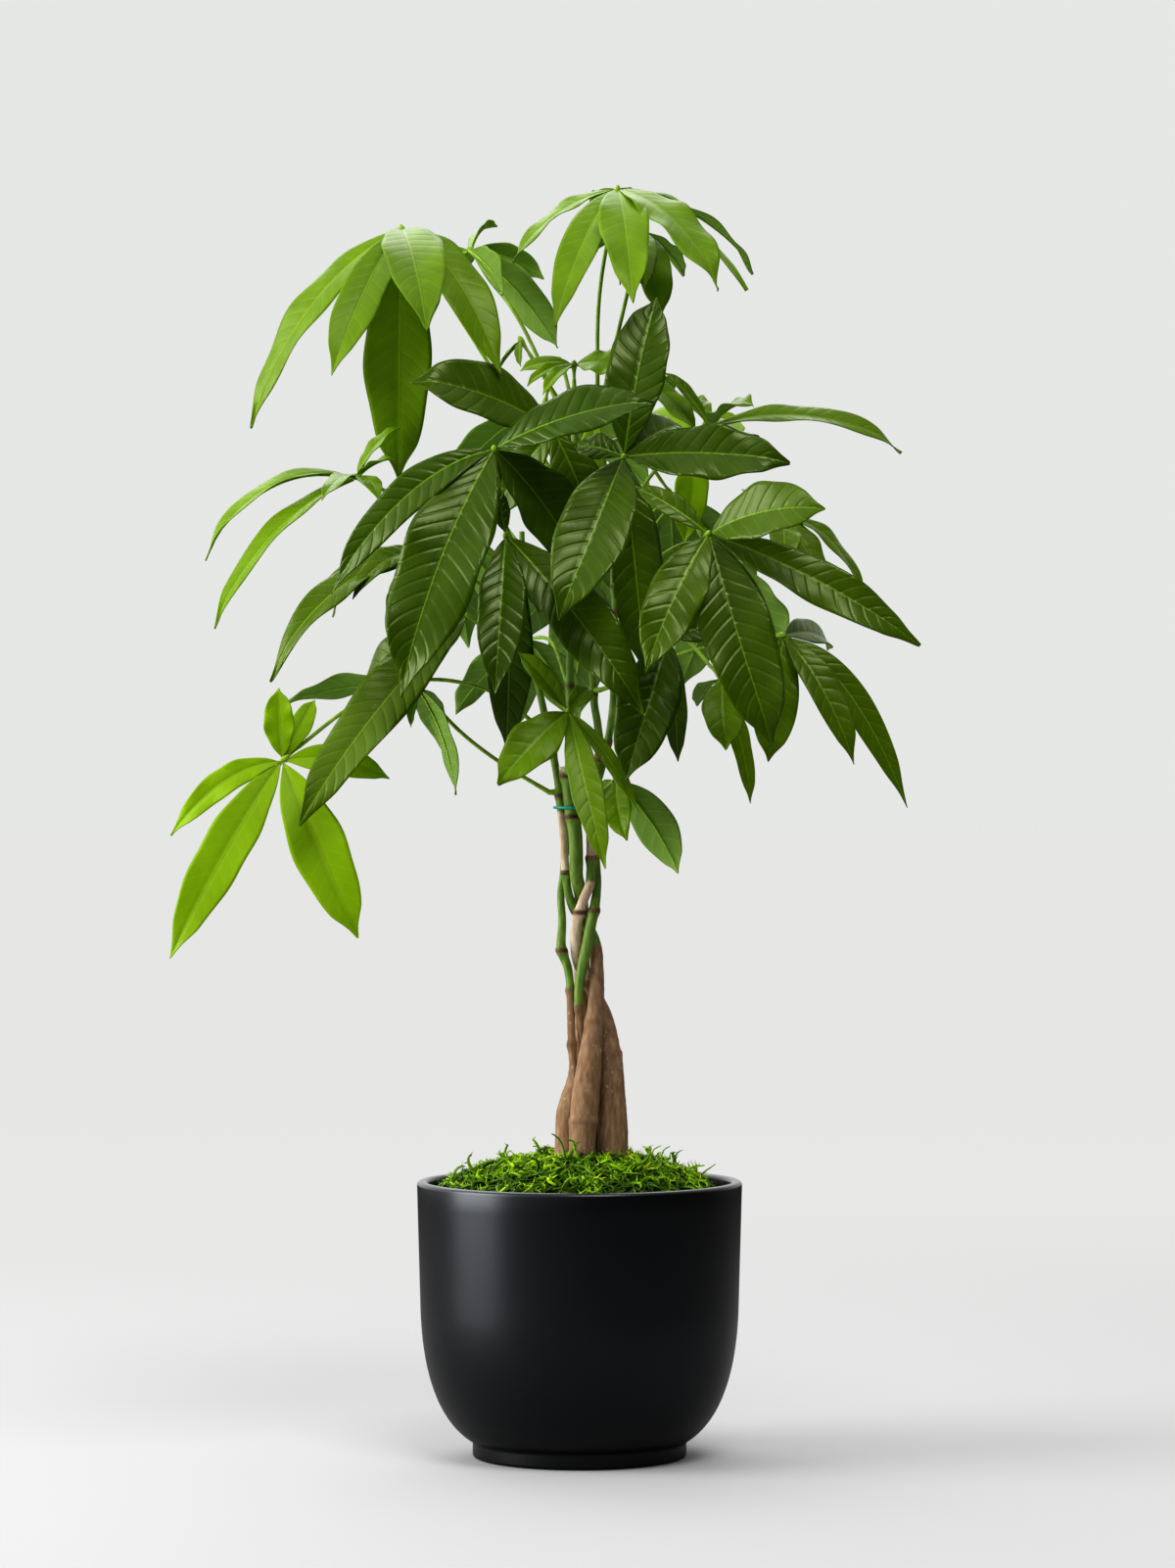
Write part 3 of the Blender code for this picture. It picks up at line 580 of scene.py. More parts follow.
# %% List the leaves
LEAVES = {
    "top_left": ("thin_left", 532, (-98, -20, 678), (0, -6, 10), 0.42, 0.25, [(-47, -8, 599)],
        [(-86, 8, -109, 26, 0.22), (-36, -52, -85, 27), (-3, 35, -138, 38),
         (17, -88, -63, 34, 0.15), (56, -42, -84, 30, 0.3), (12, 95, -48, 26, 0.2)]),
    "top_left_back": ("thin_left", 572, (-62, 45, 673), (0, 8, 6), 0.36, 0.15, [(-32, 25, 628)],
        [(14, 45, 19, 12), (42, 17, -14, 18), (50, -17, -57, 24), (20, -37, -29, 22),
         (-29, 70, -19, 24)]),
    "top_right": ("right", 586, (21, 0, 702), (0, -3, 10), 0.4, 0.15, [(11, 2, 643)],
        [(-59, -8, -42, 18, 0.15), (-35, -62, -82, 24, 0.2), (8, -78, -70, 28, 0.15),
         (56, -62, -60, 30, 0.15), (72, -8, -57, 20, 0.12), (79, 42, -41, 20, 0.12),
         (-8, 86, -20, 26, 0.1)]),
    "top_right_low": ("right", 566, (35, 48, 684), (0, -2, 10), 0.44, 0.15, [(24, 28, 635)],
        [(-33, 14, -15, 14), (-12, 62, -24, 12), (1, -44, -37, 18), (11, -36, -51, 22),
         (25, 30, -22, 18)]),
    "centre_shiny": ("front", 500, (-46, -75, 553), (0, -10, 6), 0.9, 0.75, [(-41, -40, 516)],
        [(86, -25, 24, 30, 0.03), (-89, -3, -78, 24, 0.3), (-50, -37, -134, 47, 0.12),
         (50, 33, -70, 36), (0, 27, -21, 10)]),
    "centre_high": ("thin_left", 548, (-14, -42, 565), (0, -10, 6), 0.76, 0.8, [],
        [(-76, -38, 25, 38), (25, 12, -64, 30), (-35, 22, -48, 26)]),
    "centre_upright": ("right", 500, (24, -70, 549), (0, -10, 4), 0.84, 0.7, [(18, -35, 530)],
        [(18, 25, 88, 33), (89, -22, -4, 33, 0.03), (-35, -52, -89, 40), (12, -4, -119, 30),
         (-27, 15, 6, 16), (33, 40, 20, 26)]),
    "centre_right": ("right", 455, (69, -98, 506), (0, -10, 4), 0.78, 0.2, [(42, -50, 478)],
        [(60, -42, 11, 33), (113, -10, -60, 26, 0.02), (34, -24, -114, 40), (-34, -30, -74, 31),
         (-39, 10, 25, 14)]),
    "centre_low": ("front", 470, (-40, -60, 507), (0, -10, 4), 0.86, 0.6, [(-36, -35, 484)],
        [(-5, -35, -86, 27), (75, -28, -97, 34), (0, 22, -117, 26), (-4, -2, 25, 10)]),
    "far_left": ("front", 405, (-161, -60, 385), (0, -10, 3), 0.1, 0.25,
        [(-49, -22, 423), (-85, -35, 429), (-120, -45, 417)],
        [(-2, -2, 39, 17), (17, 12, 33, 13), (58, 8, -10, 18, 0.15), (42, -18, -96, 31, 0),
         (-60, -18, -107, 27, 0.15), (-61, 2, -41, 16, 0.3)]),
    "left_thin": ("front", 490, (-124, -10, 542), (0, -3, 10), 0.36, 0.15, [(-85, -6, 522)],
        [(-85, -10, -45, 18, 0.3), (-77, -35, -84, 18, 0.15), (24, 2, 28, 14), (22, -12, 9, 14),
         (15, -35, -14, 12), (-15, -60, -16, 12)]),
    "left_mid": ("front", 458, (-80, -35, 495), (0, -7, 10), 0.62, 0.35, [(-52, -18, 480)],
        [(-44, -23, -22, 18, 0.4), (-72, 5, -36, 20, 0.35), (-61, 47, -28, 14, 0.3),
         (-90, -27, -66, 22, 0.3), (-26, 80, -40, 24)]),
    "left_low": ("front", 438, (-61, -40, 464), (-2, -10, 8), 0.7, 0.9, [],
        [(-57, -32, -59, 30), (-89, -58, -114, 34), (-62, 45, -37, 24)]),
    "low_left": ("front", 368, (-88, -18, 425), (0, 6, 10), 0.55, 0.25,
        [(-44, -6, 384), (-67, -12, 402)],
        [(-74, 12, -8, 22), (-5, -10, -22, 8), (21, -27, -59, 20), (10, 58, -31, 16)]),
    "bottom_centre": ("left", 379, (-6, -60, 412), (0, -10, 5), 0.46, 0.3, [(-7, -30, 392)],
        [(-38, -22, -40, 27), (20, -38, -85, 18), (-27, 2, 32, 12), (12, 12, 13, 12),
         (38, -12, -54, 9)]),
    "right_low": ("thin_right", 430, (112, -15, 454), (2, -10, 6), 0.6, 0.35, [(59, 10, 445)],
        [(39, -17, -71, 20, 0.25), (69, 3, -95, 20, 0.4), (-8, -7, -70, 26), (-20, 55, -38, 20),
         (30, 60, -5, 20)]),
    "right_upper": ("thin_right", 512, (72, -8, 570), (0, -7, 10), 0.52, 0.3, [(41, 8, 545)],
        [(108, 2, -12, 18, 0.14), (-12, 36, 19, 12), (22, -37, 10, 22), (26, 38, -9, 30),
         (-25, -4, 30, 9)]),
    "right_mid": ("thin_right", 470, (112, -20, 520), (2, -6, 10), 0.55, 0.3, [(59, 5, 502)],
        [(0, -32, -29, 18), (21, -12, -40, 20), (48, 12, -49, 14, 0.35), (-20, 45, 16, 18)]),
    "right_stalk": ("thin_right", 455, (78, -22, 430), (0, -6, 10), 0.48, 0.3, [(53, 5, 456)],
        [(2, -23, -39, 24), (17, 4, -69, 12), (-13, 37, -14, 14), (22, 34, -28, 18)]),
    "low_dark": ("right", 425, (49, -44, 452), (0, -10, 4), 0.84, 0.55, [(31, -22, 431)],
        [(-24, -33, -78, 34), (5, 17, -68, 14), (27, 12, 6, 18)]),
    "low_right": ("right", 388, (20, -30, 375), (2, 10, 3), 0.42, 0.3, [(17, -16, 380)],
        [(35, -8, -52, 24), (5, -28, -33, 17, 0.07, 180), (-14, 10, -14, 10)]),
    "back_yellow": ("thin_right", 500, (66, 55, 563), (0, -10, 3), 0.12, 0.2, [(49, 45, 526)],
        [(-7, -7, -55, 20), (-28, 40, 22, 20), (28, 33, 16, 20)]),
    "top_young": ("thin_left", 590, (-3, -12, 604), (0, -8, 10), 0.26, 0.15, [],
        [(-30, -6, -4, 12), (-26, -20, -13, 8), (-17, -30, -19, 8), (32, -10, -5, 25)]),
    "upper_olive": ("right", 575, (34, 12, 598), (0, -5, 10), 0.44, 0.2, [],
        [(31, -20, -31, 18), (-16, 28, -22, 18), (20, 48, -2, 16)]),
    "folded_young": ("thin_left", 582, (-33, 6, 619), (-4, 0, 10), 0.42, 0.1, [(-23, 3, 603)],
        [(-14, -4, -22, 9), (0, -14, -16, 5)]),
    "inner_lime": ("thin_left", 560, (8, -12, 575), (0, -10, 2), 0.16, 0.1, [],
        [(-8, -7, -47, 9), (0, -17, -48, 14)]),
    "back_top": ("thin_left", 585, (-20, 85, 590), (0, 4, 10), 0.5, 0.3, [(-12, 45, 612)],
        [(-60, 30, -52, 28), (-30, 82, -58, 34), (30, 84, -60, 34), (62, 32, -50, 28)]),
    "back_upper": ("right", 558, (52, 112, 540), (0, 6, 10), 0.62, 0.4, [(28, 60, 566)],
        [(-48, 45, -62, 30), (4, 72, -84, 36), (52, 48, -60, 30), (22, -30, -40, 20)]),
    "back_left": ("front", 506, (-72, 78, 520), (-3, 7, 10), 0.66, 0.4, [(-54, 40, 530)],
        [(-34, 20, -58, 22), (-36, 66, -76, 32), (6, 78, -66, 32), (40, 16, -66, 24)]),
    "back_middle": ("thin_left", 500, (4, 118, 500), (0, 7, 10), 0.74, 0.4, [(0, 60, 515)],
        [(-52, 42, -56, 30), (-8, 62, -92, 38), (46, 44, -64, 30)]),
    "back_right": ("thin_right", 485, (92, 92, 498), (3, 7, 10), 0.62, 0.35, [(60, 60, 508)],
        [(-34, 52, -70, 30), (14, 60, -88, 34), (28, 8, -62, 24)]),
    "back_low": ("thin_left", 430, (-30, 64, 455), (-1, 7, 10), 0.58, 0.35, [(-16, 38, 452)],
        [(-42, 28, -42, 24), (-12, 52, -56, 28), (30, 38, -48, 26)]),
}
print(len(LEAVES), "leaves with", sum(len(leaf[-1]) for leaf in LEAVES.values()), "leaflets")

# %% [markdown]
# ## Rings, swellings and bark
# A ring marks each place where a leaf grew, so there is one wherever a stalk leaves the stem,
# and a few more where old leaves have dropped. The stem swells at a ring and narrows just
# above it. Bark adds long shallow ridges on the brown stretches, and the three old stems are
# stoutest where they leave the moss, so that they lean on one another. Moving each point
# along its normal by a sum of these gives real relief, which still shows against the light.

# %% Say where the rings and the skins change
RINGS = {
    "front": (186, 241, 323, 391),
    "right": (223, 262, 301, 331, 388),
    "left": (228, 300, 354),
    "thin_left": (228, 258, 280, 345, 400, 500),
    "thin_right": (249, 302, 395, 440),
}
# A stem is brown at first, and from each height upwards its skin is this (green, pale) pair
GREEN, TAN = (1, 0), (0, 1)
SKINS = {
    "front": ((283, GREEN), (323, TAN), (356, GREEN)),
    "right": ((262, TAN), (318, GREEN), (331, TAN), (352, GREEN)),
    "left": ((300, GREEN), (379.5, TAN)),
    "thin_left": ((258, GREEN),),
    "thin_right": ((249, GREEN),),
}
RING_REACH = 1.9  # millimetres of stem that a ring takes up
RING_SWELL = 0.8
BARK_RIDGE = 0.26
RING_BELOW_STALK = 2.5
SKIN_BLEND = 0.8  # half of the stretch in which one skin turns into the next
SKIN_WANDER = 1.4  # how far the line between two skins strays up and down
BASE_FLARE = {"front": 1.5, "right": 1.9, "left": 0.5}
FLARE_HEIGHT, FLARE_REACH = 190, 30


def skin_at(name, height):
    """How green and how pale a stem is at a height in millimetres."""
    pair = np.zeros(2)
    for start, skin in SKINS[name]:
        share = smooth_step(start - SKIN_BLEND, start + SKIN_BLEND, height)
        pair += (np.array(skin) - pair) * share
    return pair


def ring_at(rings, height):
    """How close a height is to a ring, and how much the stem swells there."""
    near = min(abs(height - r) for r in rings)
    swell = max(math.exp(-((height - r) / (3 if height < r else 1.6)) ** 2) for r in rings)
    return 1 - float(smooth_step(RING_REACH * 0.4, RING_REACH, near)), swell


print("rings:", sum(len(r) for r in RINGS.values()))

# %% [markdown]
# The route is sampled about every millimetre, so that rings and ridges have points to work
# with. The numbers that the finish reads are written onto the same points.

# %% Grow the five stems
STEM_STEPS = 14
STEM_SIDES = 16


def grow_stem(name):
    stalks = [height for stem, height, *_ in LEAVES.values() if stem == name]
    rings = [*RINGS[name], *[height - RING_BELOW_STALK for height in stalks]]
    route = [(*p.xyz, p.w) for p in smooth_route(STEMS[name], STEM_STEPS)]
    stem = rods("shoot_stem_" + name, [route], STEM_SIDES)
    mesh = stem.data
    points = np.array([v.co for v in mesh.vertices])
    normals = np.array([v.normal for v in mesh.vertices])
    skin = mesh.attributes.new("skin", "FLOAT_VECTOR", "POINT")
    flare = BASE_FLARE.get(name, 0)
    for i, mark in enumerate(skin.data):
        x, y, z = points[i] / MM
        green, pale = skin_at(name, z + SKIN_WANDER * noise.noise(Vector((x, y, 0)) * 0.5))
        ring, swell = ring_at(rings, z)
        mark.vector = (green, pale, ring * (0.35 + 0.65 * max(green, pale)))
        ridge = noise.fractal(Vector((x * 0.5, y * 0.5, z * 0.16)), 0.7, 2.1, 4)
        ridge += flare * math.exp(-(((z - FLARE_HEIGHT) / FLARE_REACH) ** 2)) / BARK_RIDGE
        bark = (1 - 0.82 * green) * (1 - 0.5 * pale) * BARK_RIDGE * ridge
        points[i] += normals[i] * (bark + RING_SWELL * swell) * MM
    mesh.vertices.foreach_set("co", points.ravel())
    in_place(stem, "bark_and_green_shoots", "stem_" + name, finish=skin_finish)


for name in STEMS:
    grow_stem(name)

# %% [markdown]
# ## Leaf finishes
# The upper face is waxy. Its pattern follows the leaflet: a bright midrib, side veins that
# leave it at a slant, and a darker or paler tissue between them. So the colours read numbers
# that travel with the blade: how far each point lies from the midrib, and the leaf's age.
# The side veins are read from the UV map, which counts one unit for each vein.
# A thin leaf also glows when light falls on its far side, so some of the light is passed
# through with a Translucent shader.

# %% Mix the upper face, the underside and the stalk
WAX_TINT = (0.88, 1.0, 0.52)
LIGHT_THROUGH = (0.34, 0.54, 0.001)


def vein_lines(finish):
    """Bright on a side vein, dark between two, with the numbers that the blade carries."""
    data = finish.add("Attribute", {"attribute_name": "growth"}).outputs["Vector"]
    rib, age, _ = finish.add("SeparateXYZ", Vector=data).outputs
    turns = finish.add("SeparateXYZ", Vector=finish.add("UVMap", {"uv_map": "veins"}).outputs[0])
    distance = finish.sum("PINGPONG", turns.outputs[0], 0.5)
    line = finish.fade(distance, 0.01, 0.07, 1.0, 0.0)
    swell = finish.fade(distance, 0.0, 0.2, 0.0, 1.0)
    midrib = finish.fade(rib, 0.3, 1.0, 1.0, 0.0)
    return age, line, midrib, swell


def glowing(finish, colour, age):
    """Passes some of the light through, as a thin leaf does, and more of it when young."""
    through = finish.add("BsdfTranslucent", Color=finish.mix(0.5, colour, LIGHT_THROUGH))
    share = finish.sum("MULTIPLY_ADD", age, -0.36, 0.46)
    blend = finish.add("MixShader", Fac=share, _1=finish.shader.outputs[0], _2=through.outputs[0])
    finish.feed(finish.tree.nodes["Material Output"].inputs["Surface"], blend.outputs[0])
    return finish.owner


def leaf_face():
    face = Finish("leaf_face")
    age, line, midrib, swell = vein_lines(face)
    mottle = face.noise(95, 5)
    cells = face.noise(900, 3)
    shade = face.sum("MULTIPLY_ADD", mottle, 0.22, face.sum("SUBTRACT", age, 0.11))
    tissue = face.ramp(shade, (0.0, (0.32, 0.53, 0.001)), (0.32, (0.175, 0.32, 0.001)),
                       (0.60, (0.078, 0.140, 0.001)), (0.95, (0.024, 0.056, 0.001)))
    pale = face.ramp(shade, (0.0, (0.42, 0.62, 0.01)), (0.5, (0.17, 0.32, 0.008)),
                     (1.0, (0.07, 0.15, 0.008)))
    showing = face.sum("MULTIPLY_ADD", age, -0.34, 0.48)
    veined = face.mix(face.sum("MULTIPLY", line, showing), tissue, pale)
    rib = face.ramp(shade, (0.0, (0.42, 0.60, 0.03)), (0.5, (0.22, 0.40, 0.015)),
                    (1.0, (0.12, 0.25, 0.01)))
    colour = face.mix(face.sum("MULTIPLY", midrib, 0.85), veined, rib)
    roughness = face.sum("MULTIPLY_ADD", cells, 0.05, face.sum("MULTIPLY_ADD", age, -0.24, 0.44))
    relief = face.sum("MULTIPLY", swell, face.sum("MULTIPLY_ADD", age, 1.7, -0.35))
    face.surface(colour, roughness, relief, 0.4, 0.0005, 0.33, WAX_TINT)
    return glowing(face, colour, age)


def leaf_underside():
    under = Finish("leaf_underside")
    age, line, midrib, swell = vein_lines(under)
    mottle = under.noise(120, 4)
    shade = under.sum("MULTIPLY_ADD", mottle, 0.2, under.sum("SUBTRACT", age, 0.1))
    tissue = under.ramp(shade, (0.0, (0.28, 0.44, 0.02)), (0.4, (0.19, 0.33, 0.05)),
                        (1.0, (0.11, 0.20, 0.05)))
    colour = under.mix(under.sum("MULTIPLY", line, 0.5), tissue, (0.30, 0.44, 0.11))
    colour = under.mix(midrib, colour, (0.36, 0.50, 0.10))
    relief = under.sum("MULTIPLY", swell, under.sum("MULTIPLY_ADD", age, -1.2, 0.2))
    under.surface(colour, 0.58, relief, 0.35, 0.0004, 0.16, WAX_TINT)
    return glowing(under, colour, age)


def leaf_stalk():
    stalk = Finish("leaf_stalk")
    streak = stalk.noise(220, 3, (1, 1, 0.3))
    colour = stalk.ramp(streak, (0.3, (0.13, 0.24, 0.006)), (0.7, (0.26, 0.42, 0.02)))
    return stalk.surface(colour, 0.45, streak, 0.2, 0.0003)


FACE, UNDERSIDE, STALK = leaf_face(), leaf_underside(), leaf_stalk()
print(FACE.name, UNDERSIDE.name, STALK.name)

# %% [markdown]
# ## One leaflet as a pattern
# All leaflets share one build, so it is modelled once: a flat grid, two units long and two
# wide, with enough cells for the quilting. It is then copied and bent for each leaflet of
# the plant, and each copy keeps its own mesh.

# %% Cut the pattern of a leaflet
CELLS_LONG = 90
CELLS_WIDE = 14
bpy.ops.object.select_all(action="DESELECT")
bpy.ops.mesh.primitive_grid_add(x_subdivisions=CELLS_LONG, y_subdivisions=CELLS_WIDE, size=2,
                                location=(0, 0, 0))
pattern = bpy.context.object
pattern.name = "leaflet_pattern"
pattern.data.uv_layers[0].name = "veins"
pattern.data.materials.append(FACE)
pattern.data.materials.append(UNDERSIDE)
pattern.data.polygons.foreach_set("use_smooth", [True] * len(pattern.data.polygons))
flat = np.array([v.co for v in pattern.data.vertices])
ALONG = (flat[:, 0] + 1) / 2
ACROSS = flat[:, 1]
corner_points = np.array([l.vertex_index for l in pattern.data.loops])
corner_sides = np.repeat([np.sign(p.center.y) for p in pattern.data.polygons], 4)
LEFT_SHIFT = 0.4  # the side veins of the two halves don't meet at the midrib
print("pattern cells:", CELLS_LONG * CELLS_WIDE)

# %% [markdown]
# ## Bending a leaflet
# The midrib follows a gentle curve from the knob to the tip. Across it, the blade is a wedge
# at the root, widest just past the middle, and drawn out to a drip tip. Its halves rise
# towards the edges like an open book, the edges wave a little, and the tissue bulges between
# the veins. All of it is worked out for the whole grid at once.

# %% Work out the outline and the relief of a blade
VEIN_SPACING = 8.6 * MM
BLADE_BOW = 0.10
BLADE_SAG = 0.07
BLADE_FOLD = 0.13
ROOT_INSET = 1.6 * MM
BLADE_THICKNESS = 0.45 * MM
ROOT_WIDTH = 0.7 * MM
GROOVE_DEPTH, GROOVE_WIDTH = 0.35 * MM, 1.1 * MM
RIB_RADIUS = 0.85
RIB_DEPTH = 0.25
RIB_POINTS = [int(np.argmin(np.abs(ALONG - k / 19) + 10 * np.abs(ACROSS))) for k in range(19)]


def half_width(t):
    """The outline: a wedge at the root, widest past the middle, a drawn-out tip."""
    body = 3.74 * t ** 0.95 * np.clip(1.002 - t, 0, None) ** 0.8 * (1 - 0.25 * t)
    return body * (1 - 0.45 * smooth_step(0.84, 0.98, t))


def bent(knob, tip, width, facing, sag, turn, age, quilt, dice):
    """One leaflet: a copy of the pattern, bent from the knob to its tip. Metres."""
    length = tip.length
    along = tip / length
    up = (facing - along * facing.dot(along)).normalized()
    up.rotate(Quaternion(along, math.radians(turn)))
    side = np.array(up.cross(along))
    root = np.array(knob + along * ROOT_INSET)
    end = np.array(knob + tip)
    reach = math.hypot(tip.x, tip.y)
    pull = (root + end) / 2 + np.array(up) * BLADE_BOW * length + np.array((0, 0, sag * reach))
    t = ALONG[:, None]
    middle = (1 - t) ** 2 * root + 2 * t * (1 - t) * pull + t**2 * end
    run = 2 * (1 - t) * (pull - root) + 2 * t * (end - pull)
    rise = np.cross(run, side)
    rise /= np.linalg.norm(rise, axis=1)[:, None]
    half = np.maximum(width / 2 * half_width(ALONG), ROOT_WIDTH * (1 - ALONG))
    off = np.abs(ACROSS)
    count = max(6, round(length / VEIN_SPACING))
    slant = 0.085 * (width / length) / 0.3
    right = ACROSS > 0
    half *= 1 + dice.uniform(-0.07, 0.07) * np.sign(ACROSS)
    ripple = dice.uniform(2, 4) * 6.3 * ALONG + dice.uniform(0, 6.3) + right
    half *= 1 + 0.03 * np.sin(ripple)
    beat = count * (ALONG - slant * off - 0.03 * off**2)
    phase = beat + np.where(right, 0, LEFT_SHIFT)
    bulge = np.abs(np.sin(np.pi * phase)) ** 0.8 * off**0.6 * (1 - off**4)
    bulge *= smooth_step(0.02, 0.2, ALONG) * (1 - smooth_step(0.55, 0.97, ALONG))
    wave = dice.uniform(0.02, 0.07) * width * off**2 * smooth_step(0.1, 0.4, ALONG)
    wave = wave * np.sin(dice.uniform(1.6, 3.0) * 2 * np.pi * ALONG + dice.uniform(0, 6.3)
                         + np.where(right, 0, dice.uniform(1, 4)))
    groove = -GROOVE_DEPTH * np.exp(-((off * half / GROOVE_WIDTH) ** 2))
    fold = BLADE_FOLD * dice.uniform(0.5, 1.7) * off * half
    curl = -dice.uniform(0.0, 0.045) * length * smooth_step(0.78, 1, ALONG) ** 2
    lift = fold + quilt * MM * bulge + wave + groove + curl
    sway = dice.uniform(-0.018, 0.018) * length * np.sin(np.pi * ALONG)
    middle = middle + side * sway[:, None]
    points = middle + side * (ACROSS * half)[:, None] + rise * lift[:, None]
    mesh = pattern.data.copy()
    mesh.vertices.foreach_set("co", points.ravel())
    rib = off * half / (RIB_RADIUS * MM * (1 - 0.72 * ALONG))
    growth = mesh.attributes.new("growth", "FLOAT_VECTOR", "POINT")
    growth.data.foreach_set("vector", np.stack([rib, 0 * rib + age, 0 * rib], 1).ravel())
    shift = np.where(corner_sides > 0, 0, LEFT_SHIFT)
    veins = np.stack([beat[corner_points] + shift, off[corner_points]], 1)
    mesh.uv_layers["veins"].data.foreach_set("uv", veins.ravel())
    piece = bpy.data.objects.new("leaflet", mesh)
    bpy.context.collection.objects.link(piece)
    ribs = []
    for i in RIB_POINTS:
        thick = RIB_RADIUS * (1 - 0.78 * ALONG[i])
        drop = thick + RIB_DEPTH - curl[i] / MM
        ribs.append((*(middle[i] / MM - rise[i] * drop), thick))
    return piece, ribs


print("side veins on a long leaflet:", round(0.12 / VEIN_SPACING))

# %% [markdown]
# ## Stalk and knob
# The stalk leaves the stem on a swollen foot, arches out past its points, and ends in the
# knob that holds the leaflets. Under each blade the midrib stands out as a thin tapering rod.

# %% Work out the stalks
STALK_RADIUS = 1.1
STALK_FOOT = 3.0
KNOB_RADIUS = 1.7
KNOB_SHAPE = ((9, 0.5), (6, 0.56), (4, 0.72), (2, 0.95), (0.6, 1), (-0.8, 0.8), (-1.8, 0.3))
CLEARANCE = 0.4


def on_stem(name, height):
    route = smooth_route(STEMS[name], STEM_STEPS)
    low = [p for p in route if p.z <= height][-1]
    return Vector(low.xyz), low.w


def stalk_route(stem, height, knob, via):
    """From inside the stem's skin along the stalk to its knob, in millimetres."""
    middle, radius = on_stem(stem, height)
    knob = Vector(knob)
    first = Vector(via[0]) if via else knob
    out = Vector((first.x - middle.x, first.y - middle.y, 0)).normalized()
    base = middle + out * (radius + CLEARANCE)
    foot = base + out * STALK_FOOT
    points = smooth_route([(*foot, 0), *[(*p, 0) for p in via], (*knob, 0)], 9)
    points = [p.xyz for p in points]
    inwards = (points[-3] - knob).normalized()
    bare = [p for p in points[:-1] if (p - knob).length > KNOB_SHAPE[0][0] + 1]
    route = [(*(middle + out * radius * 0.5), 1.9), (*base, 1.8), (*(base + out * 1.5), 1.6)]
    route += [(*p, STALK_RADIUS * (1 + 0.35 * math.exp(-i / 2))) for i, p in enumerate(bare)]
    route += [(*(knob + inwards * back), KNOB_RADIUS * share) for back, share in KNOB_SHAPE]
    return route


print("first stalk has", len(stalk_route(*list(LEAVES.values())[0][:3], [])), "points")

# %% [markdown]
# ## Putting a leaf together
# The bent blades are joined, and a Solidify modifier gives them their thickness, with the
# paler underside as a second material on the new faces. Then the stalk, the knob and the
# midribs join them, so that one leaf is one piece, as it grew.

# %% Make every leaf
def make_leaf(name, leaf):
    stem, height, knob, facing, age, quilt, via, leaflets = leaf
    dice = random.Random(name)
    facing = Vector(facing).normalized()
    blades, routes = [], [stalk_route(stem, height, knob, via)]
    for x, y, z, width, *bend in leaflets:
        sag, turn = [*bend, *(BLADE_SAG, 0)[len(bend):]]
        own_age = min(max(age + dice.uniform(-0.05, 0.05), 0), 1)
        blade, rib = bent(Vector(knob) * MM, Vector((x, y, z)) * MM, width * MM, facing, sag, turn,
                          own_age, quilt, dice)
        blades.append(blade)
        routes.append(rib)
    fan = joined("fan", blades)
    sheet = fan.modifiers.new("thickness", "SOLIDIFY")
    sheet.thickness = BLADE_THICKNESS
    sheet.offset = 0
    sheet.material_offset = 1
    bpy.ops.object.modifier_apply(modifier=sheet.name)
    stalk = rods("stalk", routes)
    stalk.data.materials.append(STALK)
    leaf_piece = joined("grown_" + name, [fan, stalk])
    in_place(leaf_piece, "green_leaf", name)


for name, leaf in LEAVES.items():
    make_leaf("leaf_" + name, leaf)
bpy.data.objects.remove(pattern)

# %% [markdown]
# ## The tie
# A grower's tie, a thin teal wire in a soft jacket, holds the shoots together just under the
# leaves. Its two ends are twisted round each other, so a helix along the tail, with a second
# one half a turn behind, shows them.

# %% Bend the tie round the shoots
TIE_HEIGHT = 359.0
TIE_WIRE, TAIL_WIRE = 0.8, 0.6
TWIST = 1.05  # radians from each point of the tail to the next
TIE_CORNERS = ((-14, 0), (-11.5, 6), (-5, 9.9), (5, 10.4), (10.1, 5.4), (10, -3), (5, -7.5),
               (-4, -10.5), (-9.5, -7.5), (-13.4, -3.5))
TIE_TAIL = ((9.0, -3.6, 359), (11.5, -5.2, 360.5), (14.2, -6.6, 362.5), (16.4, -7.2, 366))


def twisted(phase):
    """One of the two ends, wound round the line of the tail."""
    line = [p.xyz for p in smooth_route([(*p, 0) for p in TIE_TAIL], 8)]
    route = []
    for i, middle in enumerate(line):
        angle = i * TWIST + phase
        route.append((middle.x + 0.3 * math.cos(angle), middle.y + 0.6 * math.cos(angle),
                      middle.z + 0.65 * math.sin(angle), TAIL_WIRE))
    return route


def tie_finish():
    jacket = Finish("teal_jacket")
    scuffs = jacket.noise(300, 3)
    colour = jacket.ramp(scuffs, (0.3, (0.0, 0.23, 0.18)), (0.7, (0.005, 0.36, 0.28)))
    return jacket.surface(colour, 0.42, scuffs, 0.15, 0.0003)


ring = smooth_route([(x, y, TIE_HEIGHT, TIE_WIRE) for x, y in (*TIE_CORNERS, TIE_CORNERS[0])], 5)
tie = rods("grower_tie", [[(*p.xyz, p.w) for p in ring], twisted(0), twisted(math.pi)], 10)
in_place(tie, "teal_wire", "twist_tie", finish=tie_finish())
